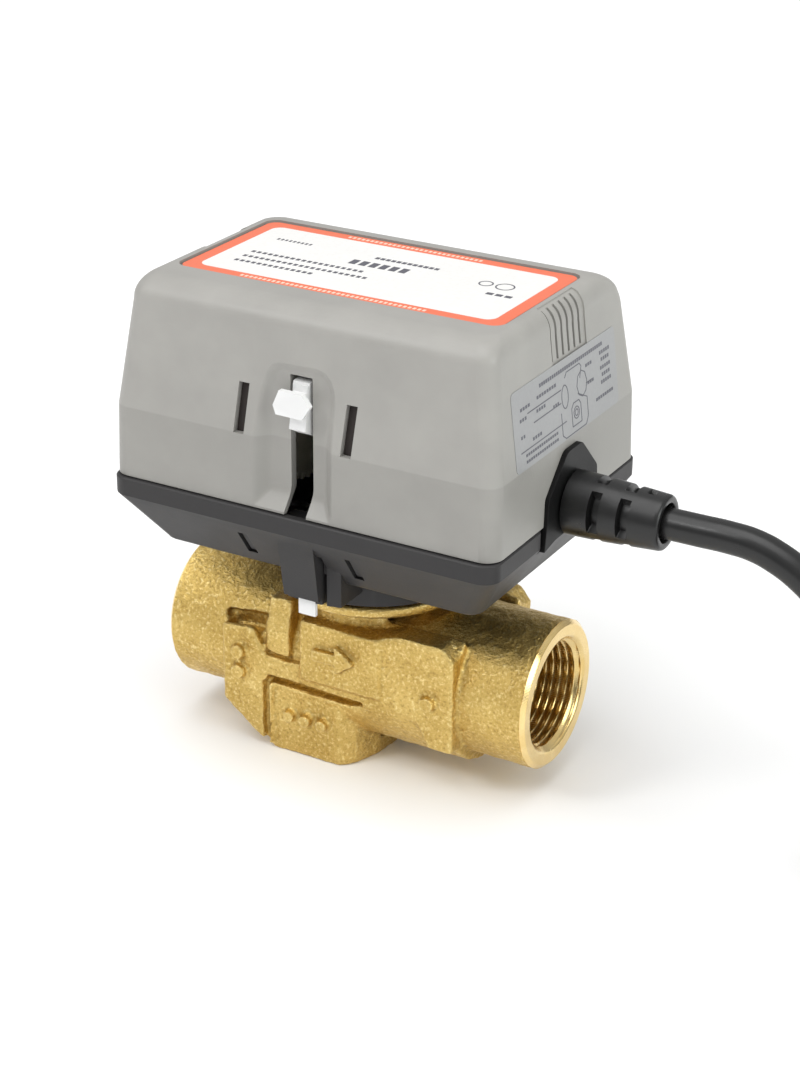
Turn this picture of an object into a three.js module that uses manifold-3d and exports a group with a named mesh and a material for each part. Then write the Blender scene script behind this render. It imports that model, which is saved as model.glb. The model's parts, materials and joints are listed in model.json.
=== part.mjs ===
// Two-port motorised zone valve: a threaded brass body with a lift-off electric actuator on top.
// Millimetres, +Z up, +X along the pipe towards port A, origin at the centre of the foot.
import * as THREE from 'three';
import { mergeVertices } from 'three/addons/utils/BufferGeometryUtils.js';
import Module from 'manifold-3d';

const wasm = await Module();
wasm.setup();

// ---------------------------------------------------------------- driving dimensions
const GAP = 0.3;                    // clearance kept between neighbouring pieces

const FACE_TO_FACE = 94;            // over the two port faces, the standard 3/4 in body
const PORT_AXIS_Z = 23.5;
const PORT_OUTER_R = 17.25;
const THREAD_MINOR_R = 12.05;       // Rp 3/4 internal thread
const THREAD_MAJOR_R = 13.2;
const THREAD_PITCH = 1.814;
const THREAD_TURNS = 5;
const THREAD_LEAD_IN = 1.6;
const WATERWAY_R = 9.2;

const PAD_HALF_DEPTH = 19.2;        // flat wrench pads on the front and back of the body
const PAD_HALF_LENGTH = 30.4;
const BOSS_HALF_DEPTH = 17.8;
const NECK_R = 16.5;
const NECK_TOP = 39.2;
const CHAMBER_R = 13.4;             // bore that takes the cartridge
const SEAT_Z = 13;

const RING_FLANGE_R = 21.2;         // bayonet ring screwed on the neck
const RING_BOTTOM = NECK_TOP + GAP;
const RING_FLANGE_TOP = RING_BOTTOM + 4;
const RING_TOP = 52;

const RIM_TOP = 69.5;               // joint line between base and cover
const RIM_HALF_LENGTH = 48;
const RIM_HALF_WIDTH = 35.8;
const RIM_HEIGHT = 4.2;
const CORNER_R = 4;
const WALL = 2;
const TRAY_BOTTOM = RIM_TOP - 16.8;
const TRAY_HALF_LENGTH = 40.5;
const TRAY_HALF_WIDTH = 27.6;
const COLLAR_R = 22;
const COLLAR_BORE_R = 20.2;
const COLLAR_BOTTOM = RIM_TOP - 25;

const COVER_BOTTOM = RIM_TOP + GAP;
const COVER_HALF_LENGTH = 47;
const COVER_HALF_WIDTH = 34.8;
const KNEE_Z = RIM_TOP + 16.5;      // where the cover walls start to lean in
const COVER_TOP = RIM_TOP + 45.6;
const TOP_HALF_LENGTH = 43.5;
const TOP_HALF_WIDTH = 31.3;
const LABEL_LENGTH = 78.7;
const LABEL_WIDTH = 38.2;

const SLOT_HALF_WIDTH = 2.75;       // lever slot in the front of the cover
const SLOT_TOP = RIM_TOP + 31.2;
const RECESS_HALF_WIDTH = 10.2;
const RECESS_TOP = RIM_TOP + 34;
const RECESS_FLOOR_Y = -31.6;
const HOOK_X = 13.6;                // cover hooks and their windows, left and right

const PIVOT_Y = 28;                 // lever arm pivot, at the back
const PIVOT_Z = RIM_TOP + 15.5;
const KNOB_Y = -34;
const KNOB_Z = RIM_TOP + 27.5;
const ARM_REST = Math.atan2(KNOB_Z - PIVOT_Z, PIVOT_Y - KNOB_Y);
const SPOOL_Z = PIVOT_Z + PIVOT_Y * Math.tan(ARM_REST);

const GEAR_MODULE = 0.8;
const SECTOR_TEETH = 80;
const PINION_TEETH = 10;
const WHEEL_TEETH = 36;
const TRAIN_TILT = THREE.MathUtils.degToRad(-5);    // pivot to intermediate gear, below level
const MOTOR_TILT = THREE.MathUtils.degToRad(25);    // intermediate gear to motor, above level
const SECTOR_X = [-11.3, -8.3];
const WHEEL_X = [-15.3, -12.3];
const LEFT_PLATE_X = [-18, -17];
const RIGHT_PLATE_X = [13, 14];
const MOTOR_X = [-36.3, LEFT_PLATE_X[0] - GAP];
const MOTOR_R = 18;

const LATCH_BRIDGE_Z = RIM_TOP - 3.4;
const LATCH_TRAVEL = 2.5;
const LATCH_HEAD_Z = RIM_TOP - 9;

const GLAND_Y = -0.5;
const GLAND_Z = RIM_TOP + 2;
const RELIEF_ROOT_R = 7.2;
const RELIEF_END_R = 6.1;
const RELIEF_X = [49.2, 71];
const CORD_R = 3.5;
const CORD_HOLE_R = 4.6;
const COIL_X = 161;
const COIL_Y = 11.8;
const COIL_MIDDLE_R = 36.5;
const COIL_HALF_BAND = 7.2;
const COIL_HEIGHT = 14.4;
const TAIL_ANGLE = THREE.MathUtils.degToRad(5);     // where the last turn leaves the coil
const TAIL_LENGTH = 33;
const LEAD_R = 1.1;

// ---------------------------------------------------------------- solids from three.js shapes
function solidOf(geometry) {
  const bare = geometry.index ? geometry.toNonIndexed() : geometry.clone();
  bare.deleteAttribute('normal');
  bare.deleteAttribute('uv');
  const merged = mergeVertices(bare, 1e-5);
  return new wasm.Manifold(new wasm.Mesh({
    numProp: 3,
    vertProperties: new Float32Array(merged.attributes.position.array),
    triVerts: new Uint32Array(merged.index.array),
  }));
}

function geometryOf(solid) {
  const mesh = solid.getMesh();
  const geometry = new THREE.BufferGeometry();
  geometry.setAttribute('position', new THREE.BufferAttribute(mesh.vertProperties, 3));
  geometry.setIndex(new THREE.BufferAttribute(mesh.triVerts, 1));
  geometry.computeVertexNormals();
  return geometry;
}

function join(...solids) {
  return solids.reduce((sum, next) => sum.add(next));
}

function cut(solid, ...tools) {
  return tools.reduce((rest, tool) => rest.subtract(tool), solid);
}

// A box between the given limits.
function block([x0, x1], [y0, y1], [z0, z1]) {
  const geometry = new THREE.BoxGeometry(x1 - x0, y1 - y0, z1 - z0);
  geometry.translate((x0 + x1) / 2, (y0 + y1) / 2, (z0 + z1) / 2);
  return solidOf(geometry);
}

// Turns a shape's own axes (a, b, length) to world axes.
const AXES = {
  x: new THREE.Matrix4().set(0, 0, 1, 0, 1, 0, 0, 0, 0, 1, 0, 0, 0, 0, 0, 1),
  y: new THREE.Matrix4().set(1, 0, 0, 0, 0, 0, -1, 0, 0, 1, 0, 0, 0, 0, 0, 1),
  z: new THREE.Matrix4(),
};

// An outline extruded along an axis: points are (y, z) for x, (x, z) for y and (x, y) for z.
function slab(points, axis, [from, to]) {
  const shape = new THREE.Shape(points.map(([a, b]) => new THREE.Vector2(a, b)));
  const geometry = new THREE.ExtrudeGeometry(shape, { depth: to - from, bevelEnabled: false });
  if (axis === 'y') {
    geometry.translate(0, 0, -to);
  } else {
    geometry.translate(0, 0, from);
  }
  geometry.applyMatrix4(AXES[axis]);
  return solidOf(geometry);
}

function ringPoints(radius, count, [a, b] = [0, 0], turn = 0) {
  return Array.from({ length: count }, (_, i) => {
    const angle = turn + (2 * Math.PI * i) / count;
    return [a + radius * Math.cos(angle), b + radius * Math.sin(angle)];
  });
}

// A round rod along an axis; centre is its place in the plane across that axis.
function rod(axis, radius, span, centre = [0, 0], sides = 24) {
  return slab(ringPoints(radius, sides, centre), axis, span);
}

// A profile of (radius, height) points turned about the vertical axis.
function turned(profile, sides = 40) {
  const points = profile.map(([radius, height]) => new THREE.Vector2(radius, height));
  const geometry = new THREE.LatheGeometry(points, sides);
  geometry.rotateX(Math.PI / 2);
  return orient(solidOf(geometry));
}

// A mesh whose faces point in has a negative volume, so its triangles are turned round.
function orient(solid) {
  if (solid.volume() > 0) {
    return solid;
  }
  const mesh = solid.getMesh();
  const flipped = new Uint32Array(mesh.triVerts.length);
  for (let i = 0; i < flipped.length; i += 3) {
    flipped[i] = mesh.triVerts[i];
    flipped[i + 1] = mesh.triVerts[i + 2];
    flipped[i + 2] = mesh.triVerts[i + 1];
  }
  return new wasm.Manifold(new wasm.Mesh({
    numProp: 3,
    vertProperties: mesh.vertProperties,
    triVerts: flipped,
  }));
}

// A ring of square-ish section about the vertical axis.
function hoop(inner, outer, [z0, z1], sides = 40) {
  return turned([[inner, z0], [outer, z0], [outer, z1], [inner, z1], [inner, z0]], sides);
}

function seal(middle, thickness, z, sides = 28) {
  const profile = ringPoints(thickness / 2, 6, [middle, z]);
  return turned([...profile, profile[0]], sides);
}

// Rounded-rectangle sections stacked upwards and skinned.
function loft(sections, cornerSteps = 4) {
  const positions = [];
  const indices = [];
  const ring = 4 * (cornerSteps + 1);
  for (const { z, length, width, radius } of sections) {
    for (let corner = 0; corner < 4; corner += 1) {
      const sx = corner === 0 || corner === 3 ? 1 : -1;
      const sy = corner < 2 ? 1 : -1;
      for (let step = 0; step <= cornerSteps; step += 1) {
        const angle = (Math.PI / 2) * (corner + step / cornerSteps);
        positions.push(sx * (length - radius) + radius * Math.cos(angle));
        positions.push(sy * (width - radius) + radius * Math.sin(angle));
        positions.push(z);
      }
    }
  }
  for (let level = 0; level + 1 < sections.length; level += 1) {
    for (let i = 0; i < ring; i += 1) {
      const a = level * ring + i;
      const b = level * ring + ((i + 1) % ring);
      indices.push(a, b, b + ring, a, b + ring, a + ring);
    }
  }
  const top = (sections.length - 1) * ring;
  for (let i = 1; i + 1 < ring; i += 1) {
    indices.push(0, i + 1, i);
    indices.push(top, top + i, top + i + 1);
  }
  const geometry = new THREE.BufferGeometry();
  geometry.setAttribute('position', new THREE.Float32BufferAttribute(positions, 3));
  geometry.setIndex(indices);
  return solidOf(geometry);
}

// A tube of round section along a smooth curve through the given points.
function tube(points, radius, steps, sides = 10) {
  const curve = new THREE.CatmullRomCurve3(points.map((p) => new THREE.Vector3(...p)), false, 'centripetal');
  const section = ringPoints(radius, sides).map(([a, b]) => new THREE.Vector2(a, b));
  const geometry = new THREE.ExtrudeGeometry(new THREE.Shape(section), { steps, extrudePath: curve });
  return orient(solidOf(geometry));
}

// ---------------------------------------------------------------- the assembly
const group = new THREE.Group();

function place(name, solid, colour, roughness, metalness = 0) {
  const material = new THREE.MeshStandardMaterial({ color: colour, roughness, metalness });
  const mesh = new THREE.Mesh(geometryOf(solid), material);
  mesh.name = name;
  group.add(mesh);
}

const BRASS = 0xc8a55a;
const STEEL = 0xb8babd;
const DARK_PLASTIC = 0x55565a;
const PALE_PLASTIC = 0xb0b0aa;
const BLACK_PLASTIC = 0x262628;
const WHITE_PLASTIC = 0xf2f2ee;
const RUBBER = 0x1c1c1e;

// ---------------------------------------------------------------- valve body
// Threaded bore of one port, as a cutter that opens towards +X.
function threadedBore() {
  const face = FACE_TO_FACE / 2;
  const profile = [[0, face - 22], [WATERWAY_R, face - 22], [THREAD_MINOR_R, face - 18]];
  for (let turn = THREAD_TURNS; turn > 0; turn -= 1) {
    const start = face - THREAD_LEAD_IN - turn * THREAD_PITCH;
    profile.push([THREAD_MINOR_R, start]);
    profile.push([THREAD_MAJOR_R, start + THREAD_PITCH * 0.45]);
    profile.push([THREAD_MAJOR_R, start + THREAD_PITCH * 0.55]);
  }
  const mouthR = THREAD_MAJOR_R + 0.4;
  profile.push([THREAD_MINOR_R, face - THREAD_LEAD_IN], [mouthR, face], [mouthR, face + 1], [0, face + 1]);
  return turned(profile, 24).rotate([0, 90, 0]).translate([0, 0, PORT_AXIS_Z]);
}

// Outline of the flat pads on the body's sides, as (x, z).
const PAD_OUTLINE = [
  [-PAD_HALF_LENGTH, 10.4], [-18.6, 1.2], [-17.4, 1.2], [-17.2, 18.3], [9, 18.3], [12.5, 21.6],
  [17.5, 21.2], [21.5, 17.8], [24.3, 12.2], [PAD_HALF_LENGTH, 12.2], [PAD_HALF_LENGTH, 35],
  [27.5, 38.3], [16, 38.3], [10.5, 36.6], [-8.8, 36.6], [-8.8, 24.3], [-17, 24],
  [-19, 24.8], [-22.3, 31], [-PAD_HALF_LENGTH, 30.2],
];

function valveBody() {
  const face = FACE_TO_FACE / 2;
  const chamfer = 1;
  const half = turned([
    [0, -1], [PORT_OUTER_R, -1], [PORT_OUTER_R, face - chamfer], [PORT_OUTER_R - chamfer, face], [0, face],
  ], 48).rotate([0, 90, 0]);
  const barrel = join(half, half.rotate([0, 0, 180])).translate([0, 0, PORT_AXIS_Z]);
  const belly = rod('x', 19.5, [-PAD_HALF_LENGTH, PAD_HALF_LENGTH], [0, PORT_AXIS_Z], 40)
    .intersect(block([-40, 40], [-PAD_HALF_DEPTH, PAD_HALF_DEPTH], [0, 60]))
    .subtract(block([-23, -9], [-40, 40], [24.5, 60]));
  const pads = slab(PAD_OUTLINE, 'y', [-PAD_HALF_DEPTH, PAD_HALF_DEPTH]);
  const markBlock = block([-8.8, 12], [-PAD_HALF_DEPTH - 1, PAD_HALF_DEPTH + 1], [21.6, 36.6]);
  const rib = block([-19, -13], [-18.3, 18.3], [26, 33.5]);
  const boss = slab([
    [-18, -BOSS_HALF_DEPTH], [0.5, -BOSS_HALF_DEPTH], [3.2, -15], [5.5, -8], [6.2, 0], [5.5, 8], [3.2, 15],
    [0.5, BOSS_HALF_DEPTH], [-18, BOSS_HALF_DEPTH],
  ], 'z', [0, 18.6]);
  const neck = rod('z', NECK_R, [20, NECK_TOP], [0, 0], 40);
  const solid = join(barrel, belly, pads, markBlock, rib, boss, neck);
  const earSpace = block([-PAD_HALF_LENGTH - 1, PAD_HALF_LENGTH + 1], [-12.5, 12.5], [36.6, 60])
    .subtract(rod('x', PORT_OUTER_R, [-40, 40], [0, PORT_AXIS_Z], 48));
  const headSpace = rod('z', RING_FLANGE_R + 0.8, [NECK_TOP, 70], [0, 0], 40);
  const boreA = threadedBore();
  const boreB = boreA.rotate([0, 0, 180]);
  const wayA = rod('x', WATERWAY_R, [0, face - 21], [0, PORT_AXIS_Z], 24);
  const wayB = rod('x', WATERWAY_R, [-face + 21, -19], [0, PORT_AXIS_Z], 24);
  const chamber = rod('z', CHAMBER_R, [SEAT_Z, 60], [0, 0], 32);
  const lower = rod('z', 9, [4, SEAT_Z + 1], [0, 0], 24);
  const duct = slab([[-26, 15], [-19.5, 15], [-19.5, 32], [-26, 32]], 'y', [-8, 8])
    .add(slab([[-25, 15.5], [-19.5, 15.5], [-19.5, 19], [0, 11.5], [0, 4], [-10, 4]], 'y', [-8, 8]));
  return cut(solid, earSpace, headSpace, boreA, boreB, wayA, wayB, chamber, lower, duct);
}

place('valve_body', valveBody(), BRASS, 0.45, 1);

// ---------------------------------------------------------------- bayonet ring and cartridge
const LUG_HALF_ANGLE = THREE.MathUtils.degToRad(22);

// Two opposite arc-shaped lugs between two radii.
function lugs(inner, outer, span) {
  const pieces = [0, Math.PI].map((side) => {
    const steps = 4;
    const arc = Array.from({ length: steps + 1 }, (_, i) => (
      side - LUG_HALF_ANGLE + (2 * LUG_HALF_ANGLE * i) / steps
    ));
    const outside = arc.map((angle) => [outer * Math.cos(angle), outer * Math.sin(angle)]);
    const inside = arc.map((angle) => [inner * Math.cos(angle), inner * Math.sin(angle)]).reverse();
    return slab([...outside, ...inside], 'z', span);
  });
  return join(...pieces);
}

const RING_TUBE_R = 16.8;
const ringBody = turned([
  [14.2, RING_BOTTOM], [RING_FLANGE_R - 0.8, RING_BOTTOM], [RING_FLANGE_R, RING_BOTTOM + 0.8],
  [RING_FLANGE_R, RING_FLANGE_TOP], [RING_TUBE_R, RING_FLANGE_TOP], [RING_TUBE_R, RING_TOP],
  [9, RING_TOP], [9, RING_TOP - 2.5], [14.2, RING_TOP - 2.5], [14.2, RING_BOTTOM],
], 48);
const ringLugs = lugs(RING_TUBE_R - 0.5, 19.2, [RING_TOP - 3, RING_TOP]);
place('bayonet_ring', join(ringBody, ringLugs), BRASS, 0.4, 1);

// Cage that carries the seat and guides the plug; its side windows face the pipe ports.
const CAGE_R = 12.9;
const CAGE_BORE_R = 10.4;
const CAGE_TOP = RING_TOP - 2.5 - GAP;
const STEM_R = 2;
function cartridgeCage() {
  const profile = [
    [8, SEAT_Z + GAP], [CAGE_R, SEAT_Z + GAP], [CAGE_R, 40], [13.8, 40], [13.8, CAGE_TOP],
    [STEM_R + GAP, CAGE_TOP], [STEM_R + GAP, CAGE_TOP - 7], [CAGE_BORE_R, CAGE_TOP - 9],
    [CAGE_BORE_R, SEAT_Z + 3], [8, SEAT_Z + 3], [8, SEAT_Z + GAP],
  ];
  const windows = block([-20, 20], [-6, 6], [18, 32]).add(block([-6, 6], [-20, 20], [18, 32]));
  const grooves = [16.4, 37].map((z) => hoop(CAGE_R - 1.4, CAGE_R + 1, [z - 1, z + 1], 32));
  return cut(turned(profile, 32), windows, ...grooves);
}
place('cartridge_cage', cartridgeCage(), BLACK_PLASTIC, 0.5);
place('cage_lower_seal', seal(12.4, 1.5, 16.4), RUBBER, 0.7);
place('cage_upper_seal', seal(12.4, 1.5, 37), RUBBER, 0.7);

// ---------------------------------------------------------------- stem, plug and spool
const PLUG_Z = 29.3;
place('stem', rod('z', STEM_R, [PLUG_Z - 3, SPOOL_Z + 5.5], [0, 0], 16), STEEL, 0.3, 1);
const PLUG_R = 9.8;
const plugBody = turned([
  [0, PLUG_Z - 5.4], [6, PLUG_Z - 5.4], [PLUG_R, PLUG_Z - 2], [PLUG_R, PLUG_Z + 3.6], [0, PLUG_Z + 3.6],
], 32);
place('plug', cut(
  plugBody,
  rod('z', STEM_R + GAP, [PLUG_Z - 3 - GAP, PLUG_Z + 10], [0, 0], 16),
  hoop(8.6, 12, [PLUG_Z - 0.2, PLUG_Z + 1.8], 32),
), BLACK_PLASTIC, 0.5);
place('plug_seal', seal(9.6, 1.3, PLUG_Z + 0.8), RUBBER, 0.7);

const SPOOL_FLANGE_R = 5.4;
const PIN_R = 1.4;
const SPOOL_HALF_GROOVE = 2;
place('stem_spool', cut(turned([
  [0, SPOOL_Z - 4.2], [SPOOL_FLANGE_R, SPOOL_Z - 4.2], [SPOOL_FLANGE_R, SPOOL_Z - SPOOL_HALF_GROOVE],
  [3.2, SPOOL_Z - SPOOL_HALF_GROOVE], [3.2, SPOOL_Z + SPOOL_HALF_GROOVE],
  [SPOOL_FLANGE_R, SPOOL_Z + SPOOL_HALF_GROOVE], [SPOOL_FLANGE_R, SPOOL_Z + 3.6], [0, SPOOL_Z + 3.6],
], 24), rod('z', STEM_R + GAP, [SPOOL_Z - 10, SPOOL_Z + 10], [0, 0], 16)), WHITE_PLASTIC, 0.45);

// ---------------------------------------------------------------- actuator base
// Cylinder sector at the front of the base that houses the release latch.
function latchHousing() {
  const sector = rod('z', 30.6, [RIM_TOP - 21.5, RIM_TOP - 8], [0, 0], 64)
    .intersect(slab([[-6.4, -40], [8.2, -40], [8.2, -20], [-11, -20], [-11, -28]], 'z', [0, 90]));
  const column = slab([
    [-34.6, RIM_TOP - 4], [-31.8, RIM_TOP - 20.4], [-24, RIM_TOP - 20.4], [-24, RIM_TOP - 4],
  ], 'x', [-5, 3.9]);
  return join(sector, column);
}

function baseTray() {
  const outer = loft([
    { z: TRAY_BOTTOM, length: TRAY_HALF_LENGTH - 0.8, width: TRAY_HALF_WIDTH - 0.8, radius: 3 },
    { z: TRAY_BOTTOM + 0.8, length: TRAY_HALF_LENGTH, width: TRAY_HALF_WIDTH, radius: 3.6 },
    { z: RIM_TOP - RIM_HEIGHT, length: RIM_HALF_LENGTH, width: RIM_HALF_WIDTH, radius: CORNER_R },
    { z: RIM_TOP, length: RIM_HALF_LENGTH, width: RIM_HALF_WIDTH, radius: CORNER_R },
  ]);
  const inside = { length: RIM_HALF_LENGTH - WALL, width: RIM_HALF_WIDTH - WALL, radius: 2.5 };
  const inner = loft([
    { z: TRAY_BOTTOM + WALL, length: TRAY_HALF_LENGTH - WALL, width: TRAY_HALF_WIDTH - WALL, radius: 2 },
    { z: RIM_TOP - RIM_HEIGHT + 1, ...inside },
    { z: RIM_TOP + 5, ...inside },
  ]);
  const collar = rod('z', COLLAR_R, [COLLAR_BOTTOM, TRAY_BOTTOM + 1], [0, 0], 48);
  const bore = rod('z', COLLAR_BORE_R, [COLLAR_BOTTOM - 1, TRAY_BOTTOM + 0.2], [0, 0], 48);
  const stemHole = rod('z', 7, [40, 90], [0, 0], 24);
  const catches = lugs(17.4, COLLAR_BORE_R + 0.5, [COLLAR_BOTTOM, COLLAR_BOTTOM + 2.6]);
  const latchShaft = block([-2.3, 2.3], [-30.6, -26], [RIM_TOP - 30, RIM_TOP - 7]);
  const hookWindows = [-HOOK_X, HOOK_X].map((x) => (
    block([x - 1.1, x + 1.1], [-40, -26], [RIM_TOP - 13.4, RIM_TOP - 8.4])
  ));
  const glandNotch = block([46.8, 60], [-14, 13], [RIM_TOP - 5.6, RIM_TOP + 1]);
  const cordHole = rod('x', CORD_HOLE_R, [40, 60], [GLAND_Y, GLAND_Z], 24);
  const blank = join(outer, collar, latchHousing());
  const shell = cut(blank, bore, stemHole, latchShaft, ...hookWindows, glandNotch, cordHole);
  return join(shell.subtract(inner), catches.subtract(inner), latchBridge());
}

// Small bridge inside the base that the latch spring pushes against.
function latchBridge() {
  const beam = block([-5.6, 5.6], [-30, -26.4], [LATCH_BRIDGE_Z, LATCH_BRIDGE_Z + 1.2]);
  const legs = [-1, 1].map((side) => (
    block(side > 0 ? [4.2, 5.6] : [-5.6, -4.2], [-30, -26.4], [RIM_TOP - 14, LATCH_BRIDGE_Z + 0.5])
  ));
  return join(beam, ...legs);
}

place('base_tray', baseTray(), DARK_PLASTIC, 0.5);

// White release latch: pressed up, it frees the actuator to turn off the bayonet ring.
const latchTab = join(
  block([-1.9, 1.9], [-30.3, -26.4], [RIM_TOP - 24, LATCH_HEAD_Z + 0.5]),
  block([-3.4, 3.4], [-29.4, -26.4], [LATCH_HEAD_Z, LATCH_HEAD_Z + 1.3]),
  block([-0.8, 0.8], [-28.7, -27.1], [LATCH_HEAD_Z + 1, LATCH_HEAD_Z + 2.4]),
);
place('latch_tab', latchTab, WHITE_PLASTIC, 0.4);
const springTop = LATCH_BRIDGE_Z - GAP;
const springLow = LATCH_HEAD_Z + 1.3 + LATCH_TRAVEL + 0.1;
place('latch_spring', hoop(1.25, 1.75, [springLow, springTop], 16).translate([0, -27.9, 0]), STEEL, 0.3, 1);

// ---------------------------------------------------------------- actuator cover
const EDGE_STEPS = 5;
const EDGE_ROUND = { length: 3.6, width: 6.4, height: 5.2 };    // rounding along the top edge
const WALL_LEAN = 0.4;                // how far the walls lean in below the knee
function coverSections(inset, top) {
  const radius = CORNER_R - inset / 2;
  const foot = { length: COVER_HALF_LENGTH - inset, width: COVER_HALF_WIDTH - inset };
  const knee = { length: foot.length - WALL_LEAN, width: foot.width - WALL_LEAN };
  const sections = [{ z: COVER_BOTTOM, ...foot, radius }, { z: KNEE_Z, ...knee, radius }];
  for (let i = 0; i <= EDGE_STEPS; i += 1) {
    const angle = (Math.PI / 2) * (i / EDGE_STEPS);
    sections.push({
      z: top - EDGE_ROUND.height * (1 - Math.sin(angle)),
      length: TOP_HALF_LENGTH - inset - EDGE_ROUND.length * (1 - Math.cos(angle)),
      width: TOP_HALF_WIDTH - inset - EDGE_ROUND.width * (1 - Math.cos(angle)),
      radius,
    });
  }
  return sections;
}

// Arched recess round the lever slot, with a ramp at its foot, as a cutter from the front.
function leverRecess() {
  const bottom = RIM_TOP - 2;
  const outline = [
    [-RECESS_HALF_WIDTH - 0.6, bottom], [RECESS_HALF_WIDTH + 0.6, bottom],
    [RECESS_HALF_WIDTH, RECESS_TOP - 5], [RECESS_HALF_WIDTH - 1.5, RECESS_TOP - 1.4],
    [RECESS_HALF_WIDTH - 4.5, RECESS_TOP], [-RECESS_HALF_WIDTH + 4.5, RECESS_TOP],
    [-RECESS_HALF_WIDTH + 1.5, RECESS_TOP - 1.4], [-RECESS_HALF_WIDTH, RECESS_TOP - 5],
  ];
  const hollow = slab(outline, 'y', [-60, RECESS_FLOOR_Y]);
  const ramp = slab([
    [RECESS_FLOOR_Y, RIM_TOP + 4.6], [-36, RIM_TOP - 1], [-36, RIM_TOP - 6], [-20, RIM_TOP - 6],
    [-20, RIM_TOP + 4.6],
  ], 'x', [-20, 20]);
  return hollow.subtract(ramp);
}

const VENT_COUNT = 6;
const VENT_PITCH = 2.7;
const VENT_MIDDLE_Y = 1.5;
function sideVents(side) {
  return Array.from({ length: VENT_COUNT }, (_, i) => {
    const y = VENT_MIDDLE_Y + (i - (VENT_COUNT - 1) / 2) * VENT_PITCH;
    const span = side > 0 ? [40.8, 60] : [-60, -40.8];
    return block(span, [y - 0.5, y + 0.5], [RIM_TOP + 34.4, COVER_TOP + 5]);
  });
}

const LABEL_RECESS_DEPTH = 0.9;
function cover() {
  const outer = loft(coverSections(0, COVER_TOP));
  const mouth = { length: COVER_HALF_LENGTH - WALL, width: COVER_HALF_WIDTH - WALL, radius: CORNER_R - 1 };
  const inner = join(
    loft(coverSections(WALL, COVER_TOP - WALL)),
    loft([{ z: COVER_BOTTOM - 5, ...mouth }, { z: COVER_BOTTOM + 0.1, ...mouth }]),
  );
  const thickX = RECESS_HALF_WIDTH + 3;
  const frontWall = block([-thickX, thickX], [-40, RECESS_FLOOR_Y + 1.9], [COVER_BOTTOM, RECESS_TOP + 3])
    .intersect(outer);
  const slot = block([-SLOT_HALF_WIDTH, SLOT_HALF_WIDTH], [-60, -20], [RIM_TOP - 5, SLOT_TOP]);
  const hookWindows = [-HOOK_X, HOOK_X].map((x) => (
    block([x - 1, x + 1], [-60, -30], [RIM_TOP + 17, RIM_TOP + 28.3])
  ));
  const pocket = { length: LABEL_LENGTH / 2 + 0.6, width: LABEL_WIDTH / 2 + 0.6, radius: 3 };
  const labelRecess = loft([
    { z: COVER_TOP - LABEL_RECESS_DEPTH, ...pocket },
    { z: COVER_TOP + 5, ...pocket },
  ]);
  const glandPath = rod('x', CORD_HOLE_R, [40, 60], [GLAND_Y, GLAND_Z], 24);
  const cordSides = [GLAND_Y - CORD_HOLE_R, GLAND_Y + CORD_HOLE_R];
  const cordSpace = block([40, 60], cordSides, [COVER_BOTTOM - 1, GLAND_Z]);
  const shell = join(cut(outer, inner), frontWall);
  return cut(shell, leverRecess(), slot, ...hookWindows, ...sideVents(1), ...sideVents(-1), labelRecess,
    glandPath, cordSpace);
}

place('cover', cover(), PALE_PLASTIC, 0.5);

place('top_label', loft([
  { z: COVER_TOP - LABEL_RECESS_DEPTH + GAP, length: LABEL_LENGTH / 2, width: LABEL_WIDTH / 2, radius: 2.6 },
  { z: COVER_TOP - GAP, length: LABEL_LENGTH / 2, width: LABEL_WIDTH / 2, radius: 2.6 },
]), 0xf6f3ee, 0.35);

// Wiring label on the right wall, leaning with the wall.
const LEAN_RUN = COVER_HALF_LENGTH - WALL_LEAN - TOP_HALF_LENGTH;
const LEAN = Math.atan2(LEAN_RUN, COVER_TOP - EDGE_ROUND.height - KNEE_Z);
const wiringLabel = block([0, 0.3], [-25, 24], [0, 17.5])
  .rotate([0, -THREE.MathUtils.radToDeg(LEAN), 0])
  .translate([COVER_HALF_LENGTH - WALL_LEAN + GAP, 0, KNEE_Z]);
place('wiring_label', wiringLabel, 0xb9b6c4, 0.35);

// ---------------------------------------------------------------- cord gland
const GLAND_OUTLINE = [
  [-13.4, -5.2], [-8.2, -4.2], [8.2, -4.2], [12.6, -5.2], [12, 1.7], [11.6, 6.4], [3.4, 14.6],
  [-3.6, 14.6], [-12, 6.4], [-12.4, 1.7],
].map(([y, z]) => [y, z + RIM_TOP]);

const glandFlange = slab(GLAND_OUTLINE, 'x', [COVER_HALF_LENGTH + GAP, 48.7]);
const glandSpigot = rod('x', CORD_HOLE_R - 0.4, [43.2, 48], [GLAND_Y, GLAND_Z], 24);
place('gland_plate', cut(
  join(glandFlange, glandSpigot),
  rod('x', CORD_R + 0.2, [40, 60], [GLAND_Y, GLAND_Z], 20),
), BLACK_PLASTIC, 0.55);

// Tapered ribbed sleeve; each groove is interrupted by four bridges.
function strainRelief() {
  const [root, end] = RELIEF_X;
  const sleeve = turned([
    [CORD_R + 0.35, root], [RELIEF_ROOT_R, root], [RELIEF_END_R + 0.1, end - 1], [RELIEF_END_R - 0.7, end],
    [CORD_R + 0.35, end], [CORD_R + 0.35, root],
  ], 28);
  const grooves = [56.2, 62.8].map((x, i) => {
    const bridges = [0, 90].map((angle) => (
      block([-20, 20], [-1.2, 1.2], [x - 3, x + 3]).rotate([0, 0, angle + 45 * i + 12])
    ));
    return cut(hoop(4.9, 12, [x - 1.1, x + 1.1], 28), ...bridges);
  });
  return cut(sleeve, ...grooves).rotate([0, 90, 0]).translate([0, GLAND_Y, GLAND_Z]);
}
place('strain_relief', strainRelief(), BLACK_PLASTIC, 0.6);

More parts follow.
